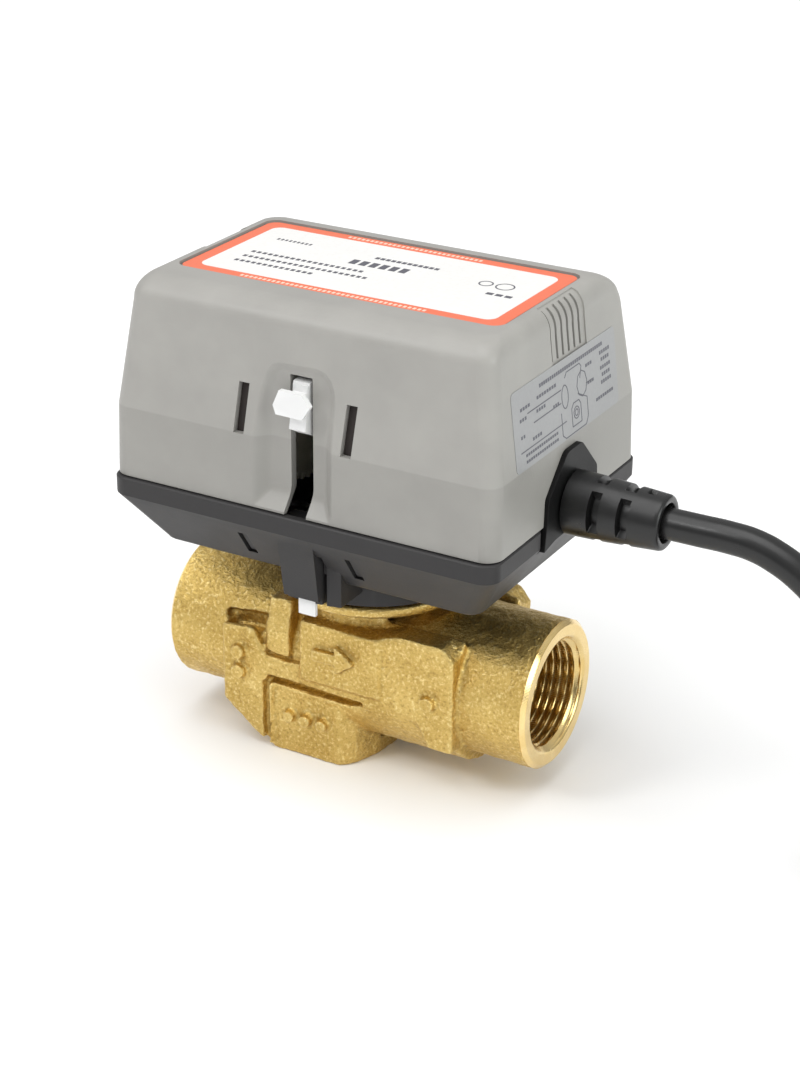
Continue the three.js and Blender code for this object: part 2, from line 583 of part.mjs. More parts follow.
// ---------------------------------------------------------------- gear frame, axles and gears
const TRAIN_DISTANCE = (GEAR_MODULE * (SECTOR_TEETH + PINION_TEETH)) / 2;
const MESH_DISTANCE = (GEAR_MODULE * (WHEEL_TEETH + PINION_TEETH)) / 2;
const IDLER = [
  PIVOT_Y - TRAIN_DISTANCE * Math.cos(TRAIN_TILT),
  PIVOT_Z + TRAIN_DISTANCE * Math.sin(TRAIN_TILT),
];
const MOTOR = [
  IDLER[0] + MESH_DISTANCE * Math.cos(MOTOR_TILT),
  IDLER[1] + MESH_DISTANCE * Math.sin(MOTOR_TILT),
];
const PIVOT = [PIVOT_Y, PIVOT_Z];
const AXLE_R = 1.5;
const TRIP_Y = 4;                   // finger on the arm that works the two switches
const TRIP_R = 1;
const SWITCH_X = [RIGHT_PLATE_X[1] + GAP, RIGHT_PLATE_X[1] + GAP + 6.4];
const SWITCH_MIDDLE = (SWITCH_X[0] + SWITCH_X[1]) / 2;

// Gear outline with straight-flanked teeth; phase is the direction of the first tooth's middle.
function gearOutline(teeth, phase, centre, first = 0, last = teeth - 1) {
  const pitchR = (GEAR_MODULE * teeth) / 2;
  const rootR = pitchR - 1.1 * GEAR_MODULE;
  const tipR = pitchR + 0.8 * GEAR_MODULE;
  const step = (2 * Math.PI) / teeth;
  const points = [];
  for (let i = first; i <= last; i += 1) {
    const middle = phase + i * step;
    const flanks = [[rootR, -0.3], [tipR, -0.12], [tipR, 0.12], [rootR, 0.3]];
    for (const [radius, share] of flanks) {
      const angle = middle + share * step;
      points.push([centre[0] + radius * Math.cos(angle), centre[1] + radius * Math.sin(angle)]);
    }
  }
  return points;
}

const framePlateOutline = [
  [-18, RIM_TOP - 12], [24, RIM_TOP - 12], [31.4, RIM_TOP - 3], [31.4, RIM_TOP + 19], [20, RIM_TOP + 36],
  [-14, RIM_TOP + 36], [-18, RIM_TOP + 30],
];
const smallHole = (centre) => rod('x', AXLE_R + GAP, [-60, 60], centre, 16);
place('left_frame_plate', cut(
  slab(framePlateOutline, 'x', LEFT_PLATE_X), smallHole(PIVOT), smallHole(IDLER),
  rod('x', 3.2, [-60, 60], MOTOR, 20),
), STEEL, 0.35, 1);
const tripSlot = block([0, 60], [TRIP_Y - 2.6, TRIP_Y + 2.4], [RIM_TOP + 9.4, RIM_TOP + 23]);
const rightPlate = slab(framePlateOutline, 'x', RIGHT_PLATE_X);
place('right_frame_plate', cut(rightPlate, smallHole(PIVOT), tripSlot), STEEL, 0.35, 1);

const POST_SPOTS = [[-14, RIM_TOP - 8.5], [22, RIM_TOP - 8.5], [14, RIM_TOP + 33]];
POST_SPOTS.forEach((spot, i) => {
  const post = rod('x', 1.8, [LEFT_PLATE_X[1] + GAP, RIGHT_PLATE_X[0] - GAP], spot, 12);
  place(`frame_post_${i + 1}`, post, STEEL, 0.35, 1);
});

const armAxle = rod('x', AXLE_R, [LEFT_PLATE_X[0] - 1.4, RIGHT_PLATE_X[1] + 1.4], PIVOT, 16);
place('arm_axle', armAxle, STEEL, 0.25, 1);
place('gear_axle', rod('x', AXLE_R, [LEFT_PLATE_X[0] + 0.2, SECTOR_X[1]], IDLER, 16), STEEL, 0.25, 1);

const toPivot = Math.atan2(PIVOT[1] - IDLER[1], PIVOT[0] - IDLER[0]);
const pinionStep = (2 * Math.PI) / PINION_TEETH;
const idlerPinionTeeth = gearOutline(PINION_TEETH, toPivot + pinionStep / 2, IDLER);
const idlerPinion = slab(idlerPinionTeeth, 'x', [WHEEL_X[1] - 0.2, SECTOR_X[1]]);
const idlerWheel = slab(gearOutline(WHEEL_TEETH, MOTOR_TILT, IDLER), 'x', WHEEL_X);
place('compound_gear', cut(join(idlerPinion, idlerWheel), smallHole(IDLER)), 0xe8e0c8, 0.5);

const motorPinionTeeth = gearOutline(PINION_TEETH, MOTOR_TILT + Math.PI + pinionStep / 2, MOTOR);
const motorPinion = slab(motorPinionTeeth, 'x', WHEEL_X);
place('motor_pinion', cut(motorPinion, rod('x', 1.3, [-60, 0], MOTOR, 12)), BRASS, 0.35, 1);
place('motor_shaft', rod('x', 1, [MOTOR_X[1] - 4, WHEEL_X[1] - 0.2], MOTOR, 12), STEEL, 0.25, 1);

// ---------------------------------------------------------------- lever arm
const CHEEK_X = 8;
const CHEEK_INNER_X = 6;
// Outline points given along and across the arm's own line at rest, measured from the pivot.
function alongArm(points) {
  return points.map(([along, across]) => [
    PIVOT_Y - along * Math.cos(ARM_REST) + across * Math.sin(ARM_REST),
    PIVOT_Z + along * Math.sin(ARM_REST) + across * Math.cos(ARM_REST),
  ]);
}

const PIN_ALONG = PIVOT_Y / Math.cos(ARM_REST);
function leverArm() {
  const cheekOutline = alongArm([
    [-2.6, -2.6], [0, -3.4], [38, -4], [42, -4], [42, 4], [38, 4], [0, 3.4], [-2.6, 2.6],
  ]);
  const cheeks = [[-CHEEK_X, -CHEEK_INNER_X], [CHEEK_INNER_X, CHEEK_X]].map((span) => (
    slab(cheekOutline, 'x', span)
  ));
  const bridge = slab(alongArm([[37, -4], [42, -4], [42, 4], [37, 4]]), 'x', [-CHEEK_X, CHEEK_X]);
  const hub = rod('x', 2.7, [-CHEEK_X, CHEEK_X], PIVOT, 20);
  const blade = slab(alongArm([
    [40, -4], [52, -4], [57, -9], [61.2, -7.6], [61.2, 2.8], [58, 4], [40, 4],
  ]), 'x', [-2, 2]);
  const neck = block([-1.8, 1.8], [KNOB_Y + 0.3, -31], [KNOB_Z - 2, KNOB_Z + 2]);
  const pinCentre = alongArm([[PIN_ALONG, 0]])[0];
  const pins = [[-7, -3.7], [3.7, 7]].map((span) => rod('x', PIN_R, span, pinCentre, 16));
  const tripCentre = alongArm([[(PIVOT_Y - TRIP_Y) / Math.cos(ARM_REST), 0]])[0];
  const tripFinger = rod('x', TRIP_R, [CHEEK_X - 0.5, SWITCH_MIDDLE + 1], tripCentre, 12);
  const knob = slab([
    [-4.6, KNOB_Z], [-3.4, KNOB_Z - 2.8], [3.4, KNOB_Z - 2.8], [4.6, KNOB_Z], [3.4, KNOB_Z + 2.8],
    [-3.4, KNOB_Z + 2.8],
  ], 'y', [KNOB_Y - 1.4, -32.2]);
  const solid = join(...cheeks, bridge, hub, blade, neck, knob, ...pins, tripFinger);
  return cut(solid, rod('x', AXLE_R + GAP, [-60, 60], PIVOT, 16));
}
place('lever_arm', leverArm(), WHITE_PLASTIC, 0.4);

// Torsion spring round the arm's hub that brings the arm back up.
const springLeg = slab([
  [PIVOT_Y - 3.8, PIVOT_Z], [PIVOT_Y - 3.1, PIVOT_Z], [24.4, RIM_TOP - 5], [23.4, RIM_TOP - 5],
], 'x', [3, 4]);
place('return_spring', cut(
  join(rod('x', 3.9, [-4, 4], PIVOT, 20), springLeg),
  rod('x', 3, [-5, 5], PIVOT, 20),
), STEEL, 0.3, 1);

const SECTOR_FIRST = -1;
const SECTOR_LAST = 5;
function sectorGear() {
  const towardIdler = Math.PI - TRAIN_TILT;
  const step = (2 * Math.PI) / SECTOR_TEETH;
  const teeth = gearOutline(SECTOR_TEETH, towardIdler, PIVOT, -SECTOR_LAST, -SECTOR_FIRST);
  const startAngle = towardIdler - SECTOR_LAST * step - step / 2;
  const endAngle = towardIdler - SECTOR_FIRST * step + step / 2;
  const inner = [endAngle, startAngle].map((angle) => [
    PIVOT_Y + 3 * Math.cos(angle), PIVOT_Z + 3 * Math.sin(angle),
  ]);
  return cut(
    join(slab([...teeth, ...inner], 'x', SECTOR_X), rod('x', 4, SECTOR_X, PIVOT, 20)),
    rod('x', AXLE_R + GAP, [-60, 60], PIVOT, 16),
  );
}
place('sector_gear', sectorGear(), 0xe8e0c8, 0.5);

// ---------------------------------------------------------------- motor
place('motor_can', cut(
  rod('x', MOTOR_R, [MOTOR_X[0], MOTOR_X[1] - 1.6], MOTOR, 40),
  rod('x', 6, [MOTOR_X[1] - 9, MOTOR_X[1] + 1], MOTOR, 24),
), STEEL, 0.35, 1);
const END_PLATE_X = [MOTOR_X[1] - 1.3, MOTOR_X[1]];
const motorEars = [-1, 1].map((side) => (
  rod('x', 3.2, END_PLATE_X, [MOTOR[0] + side * (MOTOR_R - 2.3), MOTOR[1] + side * (MOTOR_R - 7.8)], 16)
));
place('motor_end_plate', cut(
  join(rod('x', MOTOR_R - 0.4, END_PLATE_X, MOTOR, 40), ...motorEars),
  rod('x', 2.6, [-60, 0], MOTOR, 16),
), STEEL, 0.4, 1);
place('motor_gearbox_hub', cut(
  rod('x', 5.4, [MOTOR_X[1] - 8.6, MOTOR_X[1] - 1.6], MOTOR, 24),
  rod('x', 1.4, [-60, 0], MOTOR, 12),
), BLACK_PLASTIC, 0.5);

// ---------------------------------------------------------------- switches, board and wiring
// The two switches face each other; the trip finger travels between their plungers.
const SWITCH_HALF_LENGTH = 9.9;
const SWITCH_HEIGHT = 9.9;
const PLUNGER_REACH = 1.4;
const SWITCHES = [
  { name: 'upper', face: RIM_TOP + 23, way: -1 },
  { name: 'lower', face: RIM_TOP + 9.5, way: 1 },
];
// Height limits of something between two distances in front of a switch's face.
function ahead({ face, way }, near, far) {
  return [face + way * near, face + way * far].sort((low, high) => low - high);
}
// Width limits of something centred on the switches' own middle.
function acrossSwitch(half) {
  return [SWITCH_MIDDLE - half, SWITCH_MIDDLE + half];
}
for (const unit of SWITCHES) {
  const body = block(SWITCH_X, [-SWITCH_HALF_LENGTH, SWITCH_HALF_LENGTH], ahead(unit, -SWITCH_HEIGHT, 0));
  const tabSpan = ahead(unit, -SWITCH_HEIGHT - 4, 0.5 - SWITCH_HEIGHT);
  const tabs = [-7, 0, 7].map((y) => block(acrossSwitch(0.4), [y - 1.4, y + 1.4], tabSpan));
  const well = block(acrossSwitch(1.4), [TRIP_Y - 1.9, TRIP_Y + 1.9], ahead(unit, -4, 1));
  place(`${unit.name}_switch`, cut(join(body, ...tabs), well), BLACK_PLASTIC, 0.5);
  const plunger = block(acrossSwitch(1), [TRIP_Y - 1.5, TRIP_Y + 1.5], ahead(unit, -2.4, PLUNGER_REACH));
  place(`${unit.name}_switch_plunger`, plunger, 0xb03a2e, 0.5);
}

const BOARD_X = [33, 34.6];
place('circuit_board', block(BOARD_X, [-24, 24], [RIM_TOP + 8, RIM_TOP + 36]), 0x2e6b45, 0.5);
const terminals = block([BOARD_X[1] + GAP, BOARD_X[1] + GAP + 7], [-14, 14], [RIM_TOP + 10, RIM_TOP + 19]);
const SCREW_SPOTS = [-2, -1, 0, 1, 2].map((step) => [step * 5.4, RIM_TOP + 14.5]);
const screwWells = SCREW_SPOTS.map((spot) => rod('x', 1.9, [BOARD_X[1] + 3.5, 50], spot, 12));
place('terminal_block', cut(terminals, ...screwWells), 0x2f7d55, 0.5);
SCREW_SPOTS.forEach((spot, i) => {
  const screw = rod('x', 1.5, [BOARD_X[1] + 3.9, BOARD_X[1] + 6], spot, 12);
  place(`terminal_screw_${i + 1}`, screw, STEEL, 0.3, 1);
});
const capacitor = block([BOARD_X[0] - GAP - 7, BOARD_X[0] - GAP], [-20, -8], [RIM_TOP + 22, RIM_TOP + 34]);
place('motor_capacitor', capacitor, 0xb8862e, 0.4);

// ---------------------------------------------------------------- cord
place('inner_cable', rod('x', CORD_R, [41.5, RELIEF_X[1]], [GLAND_Y, GLAND_Z], 12), BLACK_PLASTIC, 0.6);

// Free stretch of the cord: straight out of the sleeve, down under its weight, onto the coil.
const CORD_ROUTE = [
  [71.3, -0.5, 71.5], [78, -0.5, 71.5], [85, -0.5, 71.5], [90.6, -0.5, 71], [95.9, -0.5, 69.3],
  [100.8, -0.5, 66.7], [105.2, -0.5, 63.2], [108.7, -0.5, 58.8], [111.3, -0.5, 53.9], [113, -0.5, 48.6],
  [113.5, -0.5, 43], [113.5, -0.5, 39.1], [113.9, -0.9, 33.5], [115.2, -1.9, 28.1], [117.3, -3.6, 23.1],
  [120.4, -6.3, 18.3],
];
place('cord_tube', tube(CORD_ROUTE, CORD_R, 24, 10), BLACK_PLASTIC, 0.6);

const coilRing = hoop(COIL_MIDDLE_R - COIL_HALF_BAND, COIL_MIDDLE_R + COIL_HALF_BAND, [0.1, COIL_HEIGHT], 48);
place('cord_coil', coilRing.translate([COIL_X, COIL_Y, 0]), BLACK_PLASTIC, 0.6);

// The last turn leaves the coil on a tangent and ends in stripped leads.
const TAIL_R = 40;
const TAIL_Z = 3.6;
function onTail(distance, aside = 0, z = TAIL_Z) {
  const [c, s] = [Math.cos(TAIL_ANGLE), Math.sin(TAIL_ANGLE)];
  return [COIL_X + (TAIL_R + aside) * c - distance * s, COIL_Y + (TAIL_R + aside) * s + distance * c, z];
}
place('cord_tail', tube([onTail(27), onTail(30), onTail(TAIL_LENGTH)], CORD_R, 3, 10), BLACK_PLASTIC, 0.6);

// Each lead: name, colour, place across the cord's end, height there, and how far it spreads.
const LEADS = [
  ['lead_brown', 0x6b4226, -1.9, 4.2, -8.5], ['lead_blue', 0x2b5fa8, -1.2, 1.4, -4.2],
  ['lead_green_yellow', 0x7fae2e, 0, 5.6, 0], ['lead_grey', 0x8a8d90, 1.2, 1.4, 4.2],
  ['lead_orange', 0xe07b28, 1.9, 4.2, 8.5],
];
const LEAD_LENGTH = 22;
for (const [name, colour, aside, height, spread] of LEADS) {
  const path = [
    onTail(TAIL_LENGTH + GAP, aside, height),
    onTail(TAIL_LENGTH + 9, aside + spread * 0.15, height * 0.8 + 0.3),
    onTail(TAIL_LENGTH + 15.5, aside + spread * 0.6, 1.5),
    onTail(TAIL_LENGTH + LEAD_LENGTH, aside + spread, LEAD_R + 0.15),
  ];
  place(name, tube(path, LEAD_R, 8, 8), colour, 0.5);
}

export default group;
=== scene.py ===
"""Motorised zone valve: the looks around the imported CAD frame. Blender 4.5, metres, +Z up.

Shapes are drawn in millimetres in the frame's own axes; mesh_from() and wire() scale them.
"""

import json
from math import atan2, cos, pi, radians, sin, sqrt, tau

import bmesh
import bpy
import numpy as np
from mathutils import Matrix, Vector, noise


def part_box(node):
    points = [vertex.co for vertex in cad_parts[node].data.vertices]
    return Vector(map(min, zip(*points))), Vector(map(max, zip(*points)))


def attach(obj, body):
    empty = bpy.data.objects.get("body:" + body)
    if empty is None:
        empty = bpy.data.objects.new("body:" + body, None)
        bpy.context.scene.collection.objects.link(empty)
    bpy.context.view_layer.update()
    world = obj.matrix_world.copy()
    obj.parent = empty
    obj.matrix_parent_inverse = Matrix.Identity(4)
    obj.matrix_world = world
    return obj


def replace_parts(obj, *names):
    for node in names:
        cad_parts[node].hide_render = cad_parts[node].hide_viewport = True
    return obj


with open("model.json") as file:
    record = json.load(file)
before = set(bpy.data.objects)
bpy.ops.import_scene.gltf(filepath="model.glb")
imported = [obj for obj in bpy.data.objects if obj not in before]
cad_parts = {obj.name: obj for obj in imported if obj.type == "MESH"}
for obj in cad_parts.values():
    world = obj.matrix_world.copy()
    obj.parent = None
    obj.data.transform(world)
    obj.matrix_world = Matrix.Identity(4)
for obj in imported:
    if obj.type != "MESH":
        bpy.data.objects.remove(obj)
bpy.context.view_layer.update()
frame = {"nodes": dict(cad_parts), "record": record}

MM = 0.001
SIDES = (-1, 1)


def lo(node):
    """Lowest corner of a CAD node, in millimetres."""
    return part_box(node)[0] / MM


def hi(node):
    """Highest corner of a CAD node, in millimetres."""
    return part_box(node)[1] / MM


def stretch(side, near, far):
    """Both ends of a stretch on one side of the middle, lowest first."""
    return sorted((side * near, side * far))


# ---- levels read from the frame
RIM = hi("base_tray").z  # joint line between base and cover
COVER_BOTTOM = lo("cover").z
COVER_TOP = hi("cover").z
COVER_HALF = (hi("cover").x, hi("cover").y)
KNEE_Z = RIM + 16.5  # where the cover's walls start to lean in
PORT_FACE = hi("valve_body").x
PORT_Z = 23.5
CORD_Y = (lo("inner_cable").y + hi("inner_cable").y) / 2
CORD_Z = (lo("inner_cable").z + hi("inner_cable").z) / 2
CORD_R = 3.5


def add_object(name, data):
    made = bpy.data.objects.new(name, data)
    bpy.context.scene.collection.objects.link(made)
    return made


# ---- camera
CAMERA_PLACE = (0.235488, -0.404157, 0.267566)

azimuth, elevation, roll = [radians(angle) for angle in (29.59, 25.022, 0.517)]
camera = add_object("camera", bpy.data.cameras.new("camera"))
camera.data.sensor_width = 36
camera.data.lens = 74.53
camera.data.clip_start = 0.01
turn = Matrix.Rotation(azimuth, 4, "Z") @ Matrix.Rotation(tau / 4 - elevation, 4, "X")
camera.matrix_world = Matrix.Translation(CAMERA_PLACE) @ turn @ Matrix.Rotation(roll, 4, "Z")
bpy.context.scene.camera = camera


# ---- node materials
MATERIALS = {}


class Shader:
    """A material's node tree with short helpers."""

    def __init__(self, name, **settings):
        self.material = bpy.data.materials.new(name)
        self.material.use_nodes = True
        tree = self.material.node_tree
        self.nodes, self.links = tree.nodes, tree.links
        self.surface = self.nodes["Principled BSDF"]
        for socket, value in settings.items():
            self.surface.inputs[socket.replace("_", " ")].default_value = value
        self.place = self.nodes.new("ShaderNodeTexCoord").outputs["Object"]
        MATERIALS[name] = self.material

    def feed(self, socket, value):
        if isinstance(value, bpy.types.NodeSocket):
            self.links.new(value, socket)
        else:
            socket.default_value = value

    def node(self, kind, inputs=None, **properties):
        made = self.nodes.new("ShaderNode" + kind)
        for key, value in properties.items():
            setattr(made, key, value)
        for key, value in (inputs or {}).items():
            self.feed(made.inputs[key], value)
        return made

    def noise(self, size, detail, rough=0.55, stretched=(1, 1, 1)):
        """Noise whose features are about size millimetres."""
        spread = self.node("Mapping", {"Vector": self.place, "Scale": stretched}).outputs[0]
        return self.node("TexNoise", {"Vector": spread, "Scale": 1 / (size * MM), "Detail": detail,
                                      "Roughness": rough}).outputs["Fac"]

    def pointiness(self):
        return self.node("NewGeometry").outputs["Pointiness"]

    def blend(self, value, first, second, start=0.3, end=0.7):
        """Runs from one colour to another while value goes from start to end."""
        made = self.node("ValToRGB", {"Fac": value})
        for element, place, colour in zip(made.color_ramp.elements, (start, end), (first, second)):
            element.position = place
            element.color = (*colour, 1)
        return made.outputs["Color"]

    def grey(self, value, low, high, start=0.3, end=0.7):
        return self.node("MapRange", {"Value": value, "From Min": start, "From Max": end, "To Min": low,
                                      "To Max": high}).outputs["Result"]

    def mix(self, share, first, second, mode="MIX"):
        made = self.node("Mix", data_type="RGBA", blend_type=mode)
        self.feed(made.inputs[0], share)
        for index, value in ((6, first), (7, second)):
            self.feed(made.inputs[index], value if isinstance(value, bpy.types.NodeSocket) else (*value, 1))
        return made.outputs[2]

    def sum(self, first, second, weight):
        return self.node("Math", {0: second, 1: weight, 2: first}, operation="MULTIPLY_ADD").outputs[0]

    def finish(self, colour, roughness, height, strength, depth):
        """Joins colour, roughness and relief to the surface; depth is in millimetres."""
        self.links.new(colour, self.surface.inputs["Base Color"])
        self.links.new(roughness, self.surface.inputs["Roughness"])
        bump = self.node("Bump", {"Height": height, "Strength": strength, "Distance": depth * MM})
        self.links.new(bump.outputs["Normal"], self.surface.inputs["Normal"])

    def edge_wear_and_highlight(self, amount):
        """0 to amount, high along outer edges: partly wear, partly a painted highlight."""
        return self.grey(self.pointiness(), 0.0, amount, 0.51, 0.60)


# how much darker the colour is painted below a fold, as painted shade
FOLD_PAINTED_SHADE = (0.89, 0.89, 0.885)


def moulded(name, colour, rough=0.4, grain=0.35, relief=0.02, vary=0.06, shine=0.5, edge_highlight=0.25, fold=None):
    """Moulded plastic: fine spark texture, faint flow marks, and a painted highlight that makes the outer
    edges lighter.

    Below the height given as fold, in millimetres, the surface is painted a little darker, as painted shade.
    """
    made = Shader(name, IOR=1.5, Specular_IOR_Level=shine)
    broad = made.noise(14, 3)
    fine = made.noise(grain, 3, 0.6)
    tint = made.blend(broad, [c * (1 - vary) for c in colour], [min(1, c * (1 + vary)) for c in colour])
    # painted shade: below the fold the colour is darkened
    if fold:
        z = made.node("SeparateXYZ", {0: made.place}).outputs["Z"]
        below = made.grey(z, 1.0, 0.0, (fold - 0.2) * MM, (fold + 0.2) * MM)
        tint = made.mix(below, tint, made.mix(1.0, tint, FOLD_PAINTED_SHADE, "MULTIPLY"))
    # painted highlight: outer edges are made lighter
    if edge_highlight:
        tint = made.mix(made.edge_wear_and_highlight(edge_highlight), tint, [min(1, c * 1.35 + 0.01) for c in colour])
    gloss = made.sum(made.grey(broad, rough - 0.05, rough + 0.05), fine, 0.08)
    made.finish(tint, gloss, made.sum(fine, made.noise(1.6, 2), 0.25), 0.35, relief)


BRASS_DARK, BRASS_LIGHT = (0.57, 0.385, 0.11), (0.71, 0.51, 0.17)
# peak colour: a painted highlight on the grain's peaks
BRASS_PIT, BRASS_PEAK_HIGHLIGHT = (0.32, 0.19, 0.05), (1.0, 0.84, 0.42)
# hollow colour: painted shade in hollows; rubbed colour: edges lighter from rubbing and from a painted
# highlight
BRASS_HOLLOW_SHADE, BRASS_RUB_AND_HIGHLIGHT = (0.20, 0.11, 0.03), (0.95, 0.77, 0.36)


def cast_brass(name):
    """Sand-cast brass: sandy grain and darker pits, with painted highlights on the grain's peaks, painted
    shade in hollows, and outer edges lighter from rubbing and from a painted highlight.
    """
    made = Shader(name, Metallic=1.0, IOR=1.5)
    grain = made.noise(0.75, 3, 0.65)
    lumps = made.noise(2.2, 3, 0.5)
    tint = made.blend(made.noise(11, 3, 0.5), BRASS_DARK, BRASS_LIGHT)
    tint = made.mix(made.grey(grain, 0.50, 0.0, 0.30, 0.46), tint, BRASS_PIT)
    # painted highlight on the grain's peaks
    tint = made.mix(made.grey(grain, 0.0, 0.6, 0.54, 0.68), tint, BRASS_PEAK_HIGHLIGHT)
    # painted shade in hollows and creases
    tint = made.mix(made.grey(made.pointiness(), 0.85, 0.0, 0.43, 0.492), tint, BRASS_HOLLOW_SHADE)
    # lighter outer edges: rubbing, and a painted highlight
    tint = made.mix(made.edge_wear_and_highlight(0.6), tint, BRASS_RUB_AND_HIGHLIGHT)
    gloss = made.sum(made.grey(grain, 0.48, 0.30), lumps, 0.06)
    made.finish(tint, gloss, made.sum(grain, lumps, 0.8), 1.0, 0.32)


def machined_brass(name):
    """Turned brass: fine rings about the X axis, with tiny tool chatter."""
    made = Shader(name, Metallic=1.0, IOR=1.5)
    settings = {"Vector": made.place, "Scale": 1 / (1.3 * MM), "Distortion": 0.6, "Detail": 2.0,
                "Detail Scale": 2.0}
    rings = made.node("TexWave", settings, wave_type="RINGS", rings_direction="X").outputs["Fac"]
    broad = made.noise(5, 3)
    tint = made.blend(broad, (0.83, 0.60, 0.24), (0.92, 0.71, 0.34))
    gloss = made.sum(made.grey(broad, 0.16, 0.26), rings, 0.05)
    made.finish(tint, gloss, made.sum(rings, made.noise(0.5, 2), 0.5), 0.25, 0.02)


def steel(name, colour, rough, stretched=(1, 1, 1)):
    """Plated or ground metal with fine directional marks."""
    made = Shader(name, Metallic=1.0, IOR=1.5)
    marks = made.noise(0.5, 4, 0.6, stretched)
    broad = made.noise(6, 3)
    tint = made.blend(broad, [c * 0.88 for c in colour], colour)
    made.finish(tint, made.sum(made.grey(broad, rough, rough + 0.1), marks, 0.1), marks, 0.2, 0.01)


def rubber(name, colour, rough, sheen):
    """Flexible sheath or seal: soft broad sheen and a faint rub."""
    made = Shader(name, IOR=1.5, Sheen_Weight=sheen, Sheen_Roughness=0.5)
    fine = made.noise(0.5, 3)
    broad = made.noise(9, 3)
    tint = made.blend(broad, [c * 0.8 for c in colour], [c * 1.25 for c in colour])
    gloss = made.sum(made.grey(broad, rough - 0.06, rough + 0.06), fine, 0.1)
    made.finish(tint, gloss, made.sum(fine, made.noise(3, 2), 0.5), 0.25, 0.02)


def printed(name, colour, rough=0.33, metallic=0.0):
    """Printed film: nearly flat, with slight ink mottle and soft waves in the film."""
    made = Shader(name, IOR=1.48, Metallic=metallic)
    mottle = made.noise(0.8, 3)
    waves = made.noise(12, 2)
    tint = made.blend(mottle, [c * 0.93 for c in colour], colour, 0.25, 0.75)
    made.finish(tint, made.grey(waves, rough - 0.04, rough + 0.06), made.sum(mottle, waves, 2.0), 0.2, 0.008)


cast_brass("cast_brass")
machined_brass("turned_brass")
# the cover's lower wall gets painted shade below the knee
moulded("grey_case", (0.330, 0.321, 0.300), grain=0.45, relief=0.07, edge_highlight=0, fold=KNEE_Z)
moulded("dark_case", (0.034, 0.0325, 0.033), 0.42, grain=0.45, relief=0.03, shine=0.25)
moulded("black_nylon", (0.005, 0.005, 0.005), shine=0.14)
moulded("switch_black", (0.02, 0.02, 0.02))
moulded("white_nylon", (0.74, 0.74, 0.735), 0.38, vary=0.02)
moulded("acetal", (0.80, 0.75, 0.60), vary=0.03)
moulded("plunger_red", (0.45, 0.05, 0.03))
moulded("terminal_green", (0.05, 0.25, 0.11), 0.45)
moulded("board_green", (0.03, 0.17, 0.07), 0.3, relief=0.01)
moulded("capacitor_amber", (0.50, 0.24, 0.04), 0.3, relief=0.01)
# a darker, browner copy of the base's dark plastic for the hooks seen in the cover's windows: painted shade
# inside the windows
moulded("hook_brown", (0.030, 0.024, 0.022), 0.5, shine=0.2)
moulded("lead_brown", (0.13, 0.055, 0.02))
moulded("lead_blue", (0.02, 0.11, 0.42))
moulded("lead_green_yellow", (0.10, 0.35, 0.03))
moulded("lead_grey", (0.27, 0.28, 0.29))
moulded("lead_orange", (0.80, 0.20, 0.02))
printed("label_film", (0.82, 0.165, 0.075))
printed("label_white", (0.83, 0.82, 0.80))
printed("label_ink", (0.10, 0.10, 0.12), 0.45)
printed("label_pale_ink", (0.93, 0.62, 0.50), 0.4)
printed("silver_film", (0.33, 0.332, 0.335), 0.36, metallic=0.15)
rubber("seal_rubber", (0.016, 0.016, 0.016), 0.5, 0.08)
rubber("cord_black", (0.006, 0.006, 0.006), 0.26, 0.0)
steel("zinc_steel", (0.62, 0.63, 0.63), 0.3)
steel("bright_steel", (0.72, 0.72, 0.72), 0.2, (4, 4, 1))
steel("copper", (0.80, 0.42, 0.26), 0.25)
SLOT_OF = {row["node"]: row["material_slot"] for row in frame["record"]["subparts"]}
BODY_OF = {node: body for body, nodes in frame["record"]["behaviour"]["bodies"].items() for node in nodes}


# ---- mesh tools
def rework(mesh, step):
    """Runs a bmesh step on a mesh in place."""
    work = bmesh.new()
    work.from_mesh(mesh)
    step(work)
    work.to_mesh(mesh)
    work.free()


def mesh_from(name, points, faces):
    """A mesh object from points in millimetres."""
    mesh = bpy.data.meshes.new(name)
    mesh.from_pydata([[c * MM for c in p] for p in points], [], faces)
    rework(mesh, lambda work: bmesh.ops.recalc_face_normals(work, faces=work.faces))
    return add_object(name, mesh)


def rings_mesh(name, rings, closed=False):
    """Skins a stack of point rings, with capped ends or, if closed, the last joined to the first."""
    count = len(rings[0])
    faces = []
    for level in range(len(rings) if closed else len(rings) - 1):
        here = level * count
        after = (level + 1) % len(rings) * count
        for i in range(count):
            j = (i + 1) % count
            faces.append((here + i, here + j, after + j, after + i))
    if not closed:
        faces.append(tuple(reversed(range(count))))
        faces.append(tuple(range((len(rings) - 1) * count, len(rings) * count)))
    return mesh_from(name, [p for ring in rings for p in ring], faces)


def round_box(half_length, half_width, radius, steps=10):
    points = []
    for corner, (sx, sy) in enumerate(((1, 1), (-1, 1), (-1, -1), (1, -1))):
        for step in range(steps + 1):
            angle = (corner + step / steps) * tau / 4
            points.append((sx * (half_length - radius) + radius * cos(angle),
                           sy * (half_width - radius) + radius * sin(angle)))
    return points


def loft(name, sections, steps=10):
    """Rounded-rectangle sections skinned upwards: z, half length, half width, corner radius, shift in y."""
    rings = []
    for z, length, width, radius, *shift in sections:
        aside = shift[0] if shift else 0.0
        rings.append([(x, y + aside, z) for x, y in round_box(length, width, radius, steps)])
    return rings_mesh(name, rings)


AXIS_ORDER = {"x": lambda a, b, c: (c, a, b), "y": lambda a, b, c: (a, c, b), "z": lambda a, b, c: (a, b, c)}


def prism(name, outline, axis, span):
    """An outline extruded along an axis: (y, z) for x, (x, z) for y and (x, y) for z."""
    return rings_mesh(name, [[AXIS_ORDER[axis](a, b, c) for a, b in outline] for c in span])


